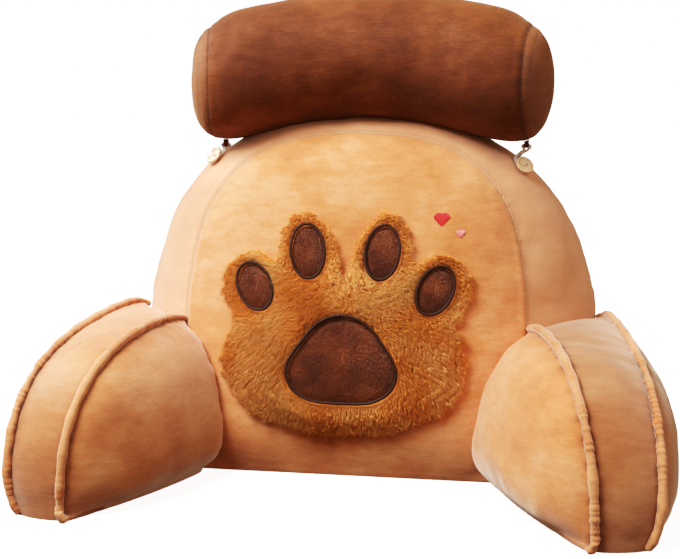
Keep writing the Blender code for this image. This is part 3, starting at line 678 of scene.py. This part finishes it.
# ------------------------------------------------------------------ welts
# The raised ridge along each arm seam: the seam allowance, rolled in the velvet and sewn down
# by hand, so that it gathers into small tucks at the stitches.
WELT_COLOUR = (0.60, 0.235, 0.095)
WELT_BIN, WELT_NEAR = 12, 0.012  # seam points read together, and how far off a roll may lie
WELT_VOXEL, WELT_SWELL, WELT_SINK, TUCK_DEPTH = 0.0011, 0.0008, 0.0020, 0.0019
WELT_ROUNDS = 10
# Painted shade: this near the arm, the roll is painted darker, standing in for the shade of the gap
# beside its seam.
WELT_FOOT = 0.0082  # this near the arm, the roll is in the dark gap beside its seam
WELT_REACH = 0.0095  # further than this off its seam, the roll is hardly tucked
WELT_DIP, DIP_RUN = 0.0045, 0.03  # its rear end goes down into the seam at the backrest
WELT_STAND = 0.03  # below this height it lies closer to the arm
WELT_TUCKS, WELT_SPELLS, WELT_SHADOW_DASHES = 170, 11, 90  # to a metre of seam
RUCHES = {  # how far along the seam from the rear, half the length, how strong
    ("left", "inner"): ((0.03, 0.05, 0.9), (0.33, 0.03, 0.5)),
    ("left", "outer"): ((0.27, 0.09, 1.0),),
    ("right", "inner"): ((0.24, 0.02, 0.7), (0.33, 0.04, 1.0)),
    ("right", "outer"): ((0.28, 0.09, 0.7),),
}

welt_velvet = velvet("welt_velvet", WELT_COLOUR, TAN_LIGHT, TAN_DARK, TAN_SHEEN, 0.8)


def build_welt(word, which):
    node = f"welt_{word}_{which}"
    piece = remesh(copy_of(f"{node}_roll", node), WELT_VOXEL, WELT_ROUNDS)
    mesh, seam = piece.data, arm_seams[word, which]
    tree, arm = line_tree([seam]), surface_of(nodes[f"arm_{word}"])
    seed = 10.0 * SIDES[word] + len(which)
    offsets = [[] for _ in range(len(seam) // WELT_BIN + 1)]
    for vertex in mesh.vertices:
        place, along, _ = tree.find(vertex.co)
        offsets[along // WELT_BIN].append(vertex.co - place)
    middles = [sum(found, Vector()) / max(1, len(found)) for found in offsets]
    painted_shading = []
    normals = [v.normal.copy() for v in mesh.vertices]
    for vertex, normal in zip(mesh.vertices, normals):
        _, along, away = tree.find(vertex.co)
        run = along * SEAM_STEP
        above = arm.find_nearest(vertex.co)[3]
        inward = middles[along // WELT_BIN]
        vertex.co += normal * WELT_SWELL
        if 0.0 < inward.length < WELT_NEAR:
            standing = max(0.0, 1 - vertex.co.z / WELT_STAND)
            vertex.co -= inward.normalized() * (WELT_SINK * (1 + standing))
        ruche = max(strength * max(0.0, 1 - ((run - middle) / half) ** 2)
                    for middle, half, strength in RUCHES[word, which])
        gather = max(0.0, 1.0 - abs(noise.noise((run * WELT_TUCKS, seed, 0.0))) * 3.6)
        amount = clamp(0.15 + ruche + 0.9 * noise.noise((run * WELT_SPELLS, seed, 5.0)), 0.05)
        inner = clamp(1.15 - away / WELT_REACH)
        vertex.co -= normal * (TUCK_DEPTH * amount * gather * (0.35 + 0.65 * inner))
        vertex.co.z = max(0.0005, vertex.co.z - WELT_DIP * max(0.0, 1 - run / DIP_RUN) ** 2)
        # Painted shade: the roll is painted darker in dashes near the arm, and in the grooves of its
        # tucks.
        low = clamp(1.6 * (1 - above / WELT_FOOT))
        shadow_dash = clamp(0.3 + ruche + 2.5 * noise.noise((run * WELT_SHADOW_DASHES, seed, 7.0)))
        painted_shading.append(min(1.3, 1.3 * low * shadow_dash + 1.1 * gather * amount * inner))
    mark(piece, "seam_shade", painted_shading)
    mesh.shade_smooth()
    finish_piece(piece, welt_velvet, node)


for word, which in arm_seams:
    build_welt(word, which)


# ------------------------------------------------------------------ bolster
# The head roll: a tube of brown velvet, filled like the rest, with a disc sewn into each end.
# It rests on the backrest's top and its ends hang and come forward a little.
BROWN, BROWN_LIGHT = (0.108, 0.0250, 0.0046), (0.150, 0.039, 0.0088)
BROWN_DARK, BROWN_THREAD = (0.078, 0.0165, 0.0028), (0.085, 0.026, 0.007)
BROWN_SHEEN, BROWN_STREAKS, BROWN_MOTTLE = (1.0, 0.55, 0.28), (4, 5, 14), 0.24
ROLL_HALF, ROLL_MIDDLE = 0.185, Vector((0.006, 0.045, 0.459))
ROLL_SAG, ROLL_WRAP, ROLL_END_RADIUS = 0.026, 0.016, 0.0632
ROLL_VOXEL, ROLL_INSET = 0.0050, 0.0008
ROLL_CREASES = {"depth": 0.0008, "width": 0.0016, "tucks": 0.0006, "reach": 0.018, "seed": 7.0}
# Painted light: the end discs are painted lighter, a painted sheen.
DISC_PAINTED_LIGHT = 0.30  # the end discs' nap catches more light
DISC_PARTS = 48

brown_velvet = velvet("brown_velvet", BROWN, BROWN_LIGHT, BROWN_DARK, BROWN_SHEEN, 0.22,
                      BROWN_STREAKS, BROWN_MOTTLE)


def roll_end(side):
    """The middle of the roll's end and the way it faces."""
    turn = side * math.atan(2 * ROLL_WRAP / ROLL_HALF)
    centre = ROLL_MIDDLE + Vector((side * ROLL_HALF, -ROLL_WRAP, -ROLL_SAG))
    return centre, Vector((math.cos(turn), -math.sin(turn), 0.0)) * side


def end_seam(side):
    """The circle where a disc is sewn into the roll's end."""
    centre, facing = roll_end(side)
    level = Vector((0, 0, 1)).cross(facing)
    points = []
    for k in range(DISC_PARTS):
        angle = 2 * math.pi * k / DISC_PARTS
        arm = Vector((0, 0, math.cos(angle))) + level * math.sin(angle)
        points.append(centre + arm * ROLL_END_RADIUS)
    return even_line(points, closed=True)


# Marks the end discs for their painted light.
def disc_painted_light(place):
    return DISC_PAINTED_LIGHT * any((place - centre).dot(facing) > 0 for centre, facing in roll_ends)


roll_ends = [roll_end(side) for side in SIDES.values()]
end_seams = {word: end_seam(side) for word, side in SIDES.items()}
bolster = stuffed_cover("bolster", list(end_seams.values()), ROLL_VOXEL, ROLL_INSET, ROLL_CREASES,
                        disc_painted_light, standing=False)
finish_piece(bolster, brown_velvet, "bolster")
for word, seam in end_seams.items():
    sew(f"bolster_stitches_{word}", seam, surface_of(bolster), BROWN_THREAD)


# ------------------------------------------------------------------ paw pile
# The paw on the front panel: a patch of golden long pile, combed down and outwards. A knitted
# backing carries it; the pile itself is thousands of tapered locks.
PAW_MIDDLE = Vector((-0.006, 0.0, 0.155))
PILE_PITCH, PILE_WIDTH, PILE_RISE, PILE_REACH = 0.00110, 0.00038, 0.0072, 0.0085
PILE_COMB, PILE_LENGTHS = {"down": 0.6, "wild": 0.45}, (0.75, 1.15)
PILE_UP = (0.0, -0.98, 0.2)  # the way it stands at its root
PILE_CLUMP, CLUMP_PULL = 14, 0.55  # strands in a clump, and how far they lean to its middle
TRIM_FROM, TRIM_RUN, TRIM_SHARE = 0.002, 0.010, 0.45  # beside a pad the pile is cut shorter
BACKING_VOXEL, BACKING_SHARE = 0.0045, 0.45
GOLD_DEEP, GOLD, GOLD_TIP = (0.60, 0.145, 0.010), (0.82, 0.255, 0.030), (0.95, 0.48, 0.160)
GOLD_PATCHES, PILE_SHEEN = 16, (1.0, 0.80, 0.58)
PAD_NODES = ("palm_pad", "toe_pad_1", "toe_pad_2", "toe_pad_3", "toe_pad_4")
PAD_MARGIN = 0.0028  # round a pad, without long pile
PIECES = ("heel", "middle", "toes")  # the pile is three pieces, one above the other
SPLITS = (-math.inf, 0.115, 0.180, math.inf)
STRAND_SHARES, STRAND_WIDTHS = (0.0, 0.55, 1.0), (1.0, 0.8)  # two rings of three corners, a tip
STRAND_FACES = ((0, 1, 2), (0, 3, 4, 1), (1, 4, 5, 2), (2, 5, 3, 0), (3, 6, 4), (4, 6, 5), (5, 6, 3))
STRAND_ARCH, STRAND_BEND, STRAND_FLAT = 0.25, 1.5, 0.8
SOFT_ROUNDS = 3
RIM_STEP = 0.002  # between the corners that a pad's outline is drawn through
PILE_SEED, COMB_SEED = 11, 1795548891
chance = np.random.default_rng(PILE_SEED)
noise.seed_set(COMB_SEED)  # noise_vector starts from the clock otherwise


def pile_material(name, deep, middle, tip, patches):
    """Long or short fibres: darker at the root, light at the tip, each a little different."""
    made, sockets, wire = new_material(name)
    strand = wire.node("UVMap", {"uv_map": "strand"})
    tone, along = strand.axis(0), strand.axis(1)
    patch = wire.noise(wire.place(), patches, 2.0).between(0.35, 0.65)
    lightness = along * 0.60 + tone * 0.30 + patch * 0.45 - 0.2
    colour = wire.mix(lightness.between(0.0, 0.5), deep, middle)
    feed_all(sockets, {
        "Base Color": wire.mix(lightness.between(0.45, 1.05), colour, tip),
        "Roughness": 0.55,
        "Sheen Weight": 0.25,
        "Sheen Tint": (*PILE_SHEEN, 1.0),
        "Specular IOR Level": 0.3,
    })
    return made


def strand_mesh(name, roots, ups, combs, rise, reach, width, tones):
    """Three-sided tapered strands, joined into one mesh: one row of each array for a strand."""
    sides = np.cross(ups, combs)
    sides /= np.linalg.norm(sides, axis=1)[:, None] + 1e-9
    count, corners = len(roots), 3 * len(STRAND_WIDTHS) + 1
    points = np.zeros((count, corners, 3))
    for ring, (share, taper) in enumerate(zip(STRAND_SHARES, STRAND_WIDTHS)):
        arch = 1 + STRAND_ARCH - STRAND_ARCH * share
        spine = roots + ups * (rise * share * arch) + combs * (reach * share**STRAND_BEND)
        for corner in range(3):
            angle = 2 * math.pi * corner / 3
            offset = sides * math.cos(angle) + ups * math.sin(angle) * STRAND_FLAT
            points[:, ring * 3 + corner] = spine + offset * (width * taper)
    points[:, -1] = roots + ups * rise + combs * reach
    loops = np.concatenate(STRAND_FACES)
    lengths = np.tile([len(face) for face in STRAND_FACES], count)
    mesh = bpy.data.meshes.new(name)
    mesh.vertices.add(count * corners)
    mesh.vertices.foreach_set("co", points.ravel())
    mesh.loops.add(len(loops) * count)
    mesh.loops.foreach_set("vertex_index", (loops + np.arange(count)[:, None] * corners).ravel())
    mesh.polygons.add(len(lengths))
    mesh.polygons.foreach_set("loop_start", np.cumsum(lengths) - lengths)
    mesh.update(calc_edges=True)
    along = np.tile(np.array(STRAND_SHARES)[loops // 3], count)
    tone = np.repeat(tones, len(loops))
    layer = mesh.uv_layers.new(name="strand")
    layer.data.foreach_set("uv", np.stack([tone, along], axis=1).ravel())
    mesh.validate()
    mesh.shade_smooth()
    return placed(name, mesh)


def plain_strand(piece, tone, along):
    """Gives a smooth piece the tone of one place on a strand, all over."""
    layer = piece.data.uv_layers.new(name="strand")
    layer.data.foreach_set("uv", np.tile((tone, along), len(piece.data.loops)))
    piece.data.shade_smooth()


def pad_rim(node):
    """The outline of a pad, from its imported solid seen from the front."""
    corners = [v.co.xz for v in nodes[node].data.vertices]
    outline = []
    for index in geometry.convex_hull_2d(corners):
        if not outline or (corners[index] - outline[-1].xz).length > RIM_STEP:
            outline.append(Vector((corners[index].x, 0.0, corners[index].y)))
    if (outline[0] - outline[-1]).length < RIM_STEP:
        outline.pop()
    return [Vector((p.x, 0.0, p.z)) for p in even_line(outline, closed=True)]


def off_rims(place):
    """How far a place is from the nearest pad's outline, seen from the front."""
    return rim_tree.find((place[0], 0, place[2]))[2]


def met_from_front(surface, x, z):
    """The place and the normal where a line from the front at x and z meets a surface."""
    return surface.ray_cast(Vector((x, -1.0, z)), Vector((0, 1, 0)))[:2]


def scatter_on(surface, node, pitch, keep):
    """Points on a surface seen from the front, about a pitch apart, with their normals."""
    places, normals = [], []
    low, high = (Vector(corner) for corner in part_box(node))
    columns, rows = int((high.x - low.x) / pitch), int((high.z - low.z) / pitch)
    for row, column in np.ndindex(rows, columns):
        x = low.x + (column + chance.random()) * pitch
        z = low.z + (row + chance.random()) * pitch
        place, normal = met_from_front(surface, x, z)
        if place is not None and keep(place):
            places.append(place)
            normals.append(normal)
    return np.array(places), np.array(normals)


def comb_field(places, normals, middle, down, wild):
    """Which way the pile lies: out from the middle and down, never quite the same."""
    combs = np.zeros_like(places)
    for index, (place, normal) in enumerate(zip(places, normals)):
        away = Vector(place) - middle
        away.y = 0.0
        swirl = noise.noise_vector(Vector(place) * 26) + noise.noise_vector(Vector(place) * 90) * 0.3
        comb = away.normalized() * 0.6 + Vector((0, 0, -down)) + swirl * wild
        comb += Vector(chance.normal(0, 0.16, 3))
        combs[index] = square_to(comb, Vector(normal))
    return combs


def build_backing():
    piece = remesh(copy_of("paw_backing", "paw_pile"), BACKING_VOXEL, SOFT_ROUNDS)
    for vertex in piece.data.vertices:
        behind = met_from_front(backrest_surface, vertex.co.x, vertex.co.z)[0]
        if behind is not None:
            vertex.co.y += (behind.y - vertex.co.y) * (1 - BACKING_SHARE)
    plain_strand(piece, tone=0.3, along=0.1)
    finish_piece(piece, gold_pile, "paw_pile")
    return piece


def off_the_pads(place):
    """Whether long pile grows at a place."""
    if off_rims(place) < PAD_MARGIN:
        return False
    return all(met_from_front(pad, place.x, place.z)[0] is None for pad in pad_surfaces)


def build_pile(backing):
    places, normals = scatter_on(surface_of(backing), "paw_pile", PILE_PITCH, off_the_pads)
    combs = comb_field(places, normals, PAW_MIDDLE, **PILE_COMB)
    ups = np.tile(PILE_UP, (len(places), 1))
    clumps = line_tree([places[::PILE_CLUMP]])
    length = chance.uniform(*PILE_LENGTHS, len(places))
    for index, place in enumerate(places):
        combs[index] += (np.array(clumps.find(place)[0]) - place) * CLUMP_PULL / PILE_REACH
        near = clamp((off_rims(place) - TRIM_FROM) / TRIM_RUN)
        length[index] *= 1 - TRIM_SHARE + TRIM_SHARE * near
    tones = chance.random(len(places))
    for word, low, high in zip(PIECES, SPLITS, SPLITS[1:]):
        rows = (places[:, 2] >= low) & (places[:, 2] < high)
        lengths = length[rows][:, None]
        piece = strand_mesh(f"paw_pile_{word}", places[rows], ups[rows], combs[rows],
                            PILE_RISE * lengths, PILE_REACH * lengths, PILE_WIDTH, tones[rows])
        finish_piece(piece, gold_pile)


gold_pile = pile_material("gold_pile", GOLD_DEEP, GOLD, GOLD_TIP, GOLD_PATCHES)
rims = {node: pad_rim(node) for node in PAD_NODES}
rim_tree = line_tree(list(rims.values()))
pad_surfaces = [surface_of(nodes[node]) for node in PAD_NODES]
build_pile(build_backing())


# ------------------------------------------------------------------ pads
# Five pads of dark brown short pile, let into the long pile and lightly filled. Dark satin
# stitch frames each of them.
PAD_VOXEL = 0.0020
PAD_DEEP, PAD_MIDDLE, PAD_TIP = (0.090, 0.015, 0.002), (0.190, 0.039, 0.006), (0.32, 0.088, 0.018)
PAD_PATCHES, PAD_COMB, PAD_LENGTHS = 34, {"down": 0.9, "wild": 0.4}, (0.6, 1.2)
EDGE_RADIUS, EDGE_HEIGHT, EDGE_COLOUR = 0.0016, 0.0085, (0.030, 0.008, 0.003)
SHORT_PITCH, SHORT_RISE, SHORT_REACH, SHORT_WIDTH = 0.00110, 0.0016, 0.0040, 0.00030
SHORT_MARGIN = 0.001  # inside a pad's outline, without fibres


def cord_along(name, line, radius, closed=False, sides=2):
    """A round cord along a line, as a mesh of one ring of points for each point of the line."""
    curve = bpy.data.curves.new(name, "CURVE")
    curve.dimensions = "3D"
    curve.bevel_depth, curve.bevel_resolution, curve.use_fill_caps = radius, sides, True
    spline = curve.splines.new("POLY")
    spline.points.add(len(line) - 1)
    for point, place in zip(spline.points, line):
        point.co = (*place, 1.0)
    spline.use_cyclic_u = closed
    mesh = mesh_of(curve)
    mesh.shade_smooth()
    mesh.name = name
    return placed(name, mesh)


pad_pile = pile_material("pad_pile", PAD_DEEP, PAD_MIDDLE, PAD_TIP, PAD_PATCHES)
edge_thread = thread_material("edge_thread", EDGE_COLOUR, sheen=0.0)


def build_pad(node):
    cushion = remesh(copy_of(f"{node}_cushion", node), PAD_VOXEL, SOFT_ROUNDS)
    plain_strand(cushion, tone=0.5, along=0.35)
    finish_piece(cushion, pad_pile, node)

    places, normals = scatter_on(surface_of(cushion), node, SHORT_PITCH,
                                 lambda place: off_rims(place) > SHORT_MARGIN)
    low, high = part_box(node)
    combs = comb_field(places, normals, (Vector(low) + Vector(high)) / 2, **PAD_COMB)
    length = chance.uniform(*PAD_LENGTHS, len(places))[:, None]
    fibres = strand_mesh(f"{node}_fibres", places, normals, combs, SHORT_RISE * length,
                         SHORT_REACH * length, SHORT_WIDTH, chance.random(len(places)))
    finish_piece(fibres, pad_pile)

    cloth = [met_from_front(backrest_surface, point.x, point.z) for point in rims[node]]
    line = [place + normal * EDGE_HEIGHT for place, normal in cloth]
    edge = cord_along(f"{node}_satin_edge", line, EDGE_RADIUS, closed=True)
    finish_piece(edge, edge_thread)


for node in PAD_NODES:
    build_pad(node)


# ------------------------------------------------------------------ buttons
# A cast resin button on each side of the backrest, with a raised rim and two holes. Thread
# holds it off the cloth on a wound shank and shows as a few strands between the holes.
BUTTON_MIDDLE_X, BUTTON_X, BUTTON_Y, BUTTON_AIM_Z = 0.011, 0.178, 0.030, 0.340
BUTTON_SLANT = 0.003  # the right button is sewn on a little higher, the left one lower
BUTTON_LEAN = math.radians(24)  # hanging on its thread, the button tips forwards
TAB_MIDDLE_X, TAB_X, TAB_Y, TAB_DROP, TAB_THICKNESS = 0.012, 0.175, 0.030, 0.0085, 0.0013
ELASTIC_RADIUS, FAR_OFF = 0.0014, 0.2
BUTTON_RADIUS, BUTTON_THICKNESS, SHANK_HEIGHT, SHANK_RADIUS = 0.0112, 0.0036, 0.0048, 0.0022
BUTTON_PROFILE = (  # share of the radius, share of the thickness, from below to the middle above
    (0.00, 0.00), (0.55, 0.00), (0.80, 0.08), (0.93, 0.24), (1.00, 0.50), (0.99, 0.70),
    (0.94, 0.90), (0.86, 1.00), (0.78, 0.98), (0.70, 0.84), (0.63, 0.68), (0.54, 0.61),
    (0.00, 0.58),
)
BUTTON_STEPS, BUTTON_EDGE = 56, 0.0002
HOLE_OFFSET, HOLE_RADIUS, HOLE_DEPTH = 0.0032, 0.0014, 0.02
TWIST_RADIUS, SHANK_TURNS, TURN_PARTS, FACE_STRANDS = 0.00042, 6, 14, 3
SHANK_GAP = 0.0005  # between the winding and both the cloth and the button
STRAND_PLACES = (-1.15, -1.0, -0.8, -0.4, 0.0, 0.4, 0.8, 1.0, 1.15)  # the holes are at -1 and 1
STRAND_LIFT, STRAND_DIVE = 0.0006, 0.003
RESIN, TWIST = (0.78, 0.49, 0.28), (0.78, 0.60, 0.40)


def tab_place(side):
    """Where the elastic's top lies in its tab, below the head roll."""
    below = Vector((TAB_MIDDLE_X + side * TAB_X, TAB_Y, FAR_OFF))
    roll_foot = surface_of(nodes["bolster"]).ray_cast(below, Vector((0, 0, 1)))[0]
    return roll_foot - Vector((0, 0, TAB_DROP - ELASTIC_RADIUS - TAB_THICKNESS))


def button_seat(side):
    """A matrix on the cover under a button: Z out of the cloth, X towards the tab."""
    aim_z = BUTTON_AIM_Z + side * BUTTON_SLANT
    aim = Vector((BUTTON_MIDDLE_X + side * BUTTON_X, BUTTON_Y, aim_z))
    start = aim + Vector((side, 0, 1)) * FAR_OFF
    place, normal, _, _ = surface_of(nodes["backrest"]).ray_cast(start, (aim - start).normalized())
    return seat_on(place, normal, tab_place(side) - place)


def leaned(seat):
    """The seat tipped forwards round the middle of its button."""
    middle = Matrix.Translation(seat @ Vector((0, 0, SHANK_HEIGHT + BUTTON_THICKNESS / 2)))
    hinge = seat.col[2].xyz.cross(Vector((0, -1, 0))).normalized()
    return middle @ Matrix.Rotation(BUTTON_LEAN, 4, hinge) @ middle.inverted() @ seat


def resin_material():
    """Cast resin with faint cloudy streaks: polished, and light enters it a little."""
    made, sockets, wire = new_material("button_resin")
    clouds = wire.noise(wire.stretched(wire.place(), (1, 1, 2.2)), 260, 3.0)
    dull, pale = [c * 0.86 for c in RESIN], [min(1, c * 1.16) for c in RESIN]
    feed_all(sockets, {
        "Base Color": wire.mix(clouds.between(0.35, 0.7), dull, pale),
        "Roughness": clouds * 0.12 + 0.22,
        "Coat Weight": 0.3,
        "Subsurface Weight": 0.15,
        "Subsurface Radius": (0.002, 0.001, 0.0006),
    })
    return made


def ease_edges(piece, width):
    """Bevels the sharp edges of a piece."""
    modifier = piece.modifiers.new("ease", "BEVEL")
    modifier.width, modifier.segments, modifier.limit_method = width, 2, "ANGLE"
    apply_modifiers(piece)
    piece.data.shade_smooth()


def build_button(node, seat):
    tipped = leaned(seat)
    bm = bmesh.new()
    rim = [bm.verts.new((share * BUTTON_RADIUS, 0.0, SHANK_HEIGHT + height * BUTTON_THICKNESS))
           for share, height in BUTTON_PROFILE]
    edges = [bm.edges.new(pair) for pair in zip(rim, rim[1:])]
    bmesh.ops.spin(bm, geom=rim + edges, axis=(0, 0, 1), cent=(0, 0, 0), angle=2 * math.pi,
                   steps=BUTTON_STEPS, use_merge=True)
    bmesh.ops.remove_doubles(bm, verts=bm.verts, dist=1e-6)
    bmesh.ops.recalc_face_normals(bm, faces=bm.faces)
    bm.transform(tipped)
    button = mesh_piece(f"{node}_disc", bm)
    for side in (-1, 1):
        bm = bmesh.new()
        across = Matrix.Translation((0, side * HOLE_OFFSET, SHANK_HEIGHT))
        bmesh.ops.create_cone(bm, cap_ends=True, segments=20, radius1=HOLE_RADIUS,
                              radius2=HOLE_RADIUS, depth=HOLE_DEPTH, matrix=tipped @ across)
        drill = mesh_piece(f"{node}_drill", bm)
        hole = button.modifiers.new("hole", "BOOLEAN")
        hole.operation, hole.object = "DIFFERENCE", drill
        apply_modifiers(button)
        bpy.data.objects.remove(drill)
    ease_edges(button, BUTTON_EDGE)
    button.data.set_sharp_from_angle(angle=math.radians(50))
    finish_piece(button, button_resin, node)


def join_pieces(name, pieces):
    """One object with the meshes of several, which are removed."""
    bm = bmesh.new()
    for piece in pieces:
        bm.from_mesh(piece.data)
        bpy.data.objects.remove(piece)
    joined = mesh_piece(name, bm)
    joined.data.shade_smooth()
    return joined


def build_button_thread(node, seat):
    """The shank, wound round with thread, and the strands across the button's face."""
    reach, height = SHANK_RADIUS - TWIST_RADIUS, SHANK_HEIGHT - 2 * SHANK_GAP
    parts = SHANK_TURNS * TURN_PARTS
    wound = []
    for part in range(parts + 1):
        angle, z = 2 * math.pi * part / TURN_PARTS, SHANK_GAP + height * part / parts
        wound.append(seat @ Vector((reach * math.cos(angle), reach * math.sin(angle), z)))
    lines = [wound]
    face = SHANK_HEIGHT + 0.6 * BUTTON_THICKNESS + TWIST_RADIUS
    for strand in range(FACE_STRANDS):
        aside = (strand - (FACE_STRANDS - 1) / 2) * TWIST_RADIUS * 1.9
        lines.append([])
        for t in STRAND_PLACES:
            z = face + STRAND_LIFT * (1 - t * t) - STRAND_DIVE * max(0, abs(t) - 0.9)
            place = Vector((aside * (1.3 - 0.5 * abs(t)), t * HOLE_OFFSET, z))
            lines[-1].append(leaned(seat) @ place)
    core = bmesh.new()
    bmesh.ops.create_cone(core, cap_ends=True, segments=16, radius1=reach, radius2=reach,
                          depth=height, matrix=seat @ Matrix.Translation((0, 0, SHANK_HEIGHT / 2)))
    pieces = [mesh_piece("core", core)]
    pieces += [cord_along("turn", line, TWIST_RADIUS) for line in lines]
    finish_piece(join_pieces(f"{node}_twist", pieces), button_twist, node)


button_resin = resin_material()
button_twist = thread_material("button_twist", TWIST)
seats = {word: button_seat(side) for word, side in SIDES.items()}
for word, seat in seats.items():
    build_button(f"button_{word}", seat)
    build_button_thread(f"button_thread_{word}", seat)


# ------------------------------------------------------------------ elastic loops
# A loop of round braided elastic from each button to a folded tab of velvet, which is sewn to
# the underside of the head roll.
ELASTIC_HALF_WIDTH, LOOP_GAP = 0.0047, 0.0004
TAB_ACROSS = Vector((1, 0, 0))  # the tab's width runs along the roll
TAB_BEND = ((-0.96, 0.0009), (-0.70, 0.0), (0.70, 0.0), (0.96, 0.0009))  # share across, drop
TAB_EDGE = 0.0004
LOOP_SPREAD = ((0.12, 0.7), (0.45, 0.35))  # share of the way up, share of the half width
BRAID_PITCH, BRAID_DEPTH, BRAID_YARNS, BRAID_STEP = 0.0042, 0.00016, 4, 0.0004
GREY_PINK = (0.72, 0.65, 0.62)


def elastic_material():
    """Pale covered elastic, its yarns a little different from each other, and painted darker in the
    grooves between them: painted shade.
    """
    made, sockets, wire = new_material("braided_elastic")
    # Half random tone, half painted shade in the braid's grooves.
    tone = wire.noise(wire.place(), 900, 2.0) * 0.5 + wire.marked("painted_yarn_light") * 0.5
    dull, pale = [c * 0.62 for c in GREY_PINK], [min(1, c * 1.2) for c in GREY_PINK]
    feed_all(sockets, {
        "Base Color": wire.mix(tone.between(0.2, 0.8), dull, pale),
        "Roughness": 0.75,
        "Sheen Weight": 0.4,
    })
    return made


def build_elastic(word, seat):
    node = f"elastic_loop_{word}"
    top = tab_place(SIDES[word])
    ahead, across, normal = (seat.col[k].xyz for k in range(3))
    level = TAB_ACROSS if across.x > 0 else -TAB_ACROSS
    low = seat.translation + normal * (SHANK_HEIGHT / 2)
    knee = low + ahead * (BUTTON_RADIUS + ELASTIC_RADIUS)
    below = top - Vector((0, 0, TAB_DROP / 2))
    wrap = SHANK_RADIUS + LOOP_GAP + ELASTIC_RADIUS
    round_shank = [low + (ahead * math.cos(a) + across * math.sin(a)) * wrap
                   for a in (math.pi * (0.5 + k / 6) for k in range(7))]
    strands = {1: [], -1: []}
    for sign, strand in strands.items():
        strand.append(low.lerp(knee, 0.55) + across * (sign * wrap))
        for share, spread in LOOP_SPREAD:
            lateral = across.lerp(level, share).normalized()
            strand.append(knee.lerp(top, share) + lateral * (sign * spread * ELASTIC_HALF_WIDTH))
        strand.append(below + level * (sign * 0.55 * ELASTIC_HALF_WIDTH))
    in_tab = [top + level * (ELASTIC_HALF_WIDTH * share) - Vector((0, 0, drop))
              for share, drop in TAB_BEND]
    path = even_line(round_shank + strands[-1] + in_tab + strands[1][::-1], True, BRAID_STEP)
    piece = cord_along(f"{node}_braid", path, ELASTIC_RADIUS, closed=True, sides=5)
    tree = line_tree([path])
    painted_shading = []
    for vertex in piece.data.vertices:
        place, index, _ = tree.find(vertex.co)
        run = (path[(index + 1) % len(path)] - path[index - 1]).normalized()
        out, first = square_to(vertex.co - place, run), square_to(level, run)
        angle = math.atan2(out.dot(run.cross(first)), out.dot(first))
        turn = 2 * math.pi * index * BRAID_STEP / BRAID_PITCH
        yarn = max(math.sin(BRAID_YARNS * angle + turn), math.sin(BRAID_YARNS * angle - turn))
        vertex.co += out * (BRAID_DEPTH * yarn)
        # Painted shade: the mark is lower in the grooves between the yarns, and the material paints
        # them darker.
        painted_shading.append(0.5 + 0.5 * yarn)
    mark(piece, "painted_yarn_light", painted_shading)
    finish_piece(piece, braided_elastic, node)


def build_tab(node):
    """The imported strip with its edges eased, in the roll's own velvet."""
    piece = copy_of(f"{node}_fold", node)
    ease_edges(piece, TAB_EDGE)
    finish_piece(piece, brown_velvet, node)


braided_elastic = elastic_material()
for word, seat in seats.items():
    build_elastic(word, seat)
    build_tab(f"bolster_tab_{word}")


# ------------------------------------------------------------------ hearts
# Two small hearts in satin stitch beside the paw: a red one on the front panel, and a smaller
# pink one. Each is rows of thread laid close beside each other.
HEARTS = (  # name, centre x, centre z, half width, colour
    ("heart_red", 0.098, 0.287, 0.0085, (0.62, 0.020, 0.018)),
    ("heart_pink", 0.119, 0.271, 0.0050, (0.80, 0.22, 0.20)),
)
HEART_THREAD, HEART_SEAT, HEART_LIFT = 0.00045, 0.0002, 0.0006
ROW_SHARES = (0.0, 0.08, 0.5, 0.92, 1.0)


def heart_edges(u):
    """The lower and the upper edge of a heart at u, from -1 to 1 across it."""
    u = abs(u)
    return -1.05 * (1 - u) ** 0.85, 0.42 * u**0.5 * (1 - u) ** 0.35 + 0.42 * (1 - u * u) ** 0.5


def build_heart(name, x, z, half, colour):
    rows = round(2 * half / (HEART_THREAD * 1.7))
    stitches = []
    for row in range(rows):
        u = -1 + (2 * row + 1) / rows
        low, high = (half * edge for edge in heart_edges(u))
        points = []
        for share in ROW_SHARES:
            height = z + low + (high - low) * share
            place, normal = met_from_front(backrest_surface, x + u * half, height)
            lift = HEART_LIFT * math.sin(math.pi * share) ** 0.5
            points.append(place + normal * (HEART_SEAT + lift))
        stitches.append(cord_along("stitch", points, HEART_THREAD))
    finish_piece(join_pieces(name, stitches), thread_material(f"{name}_thread", colour))


for row in HEARTS:
    build_heart(*row)
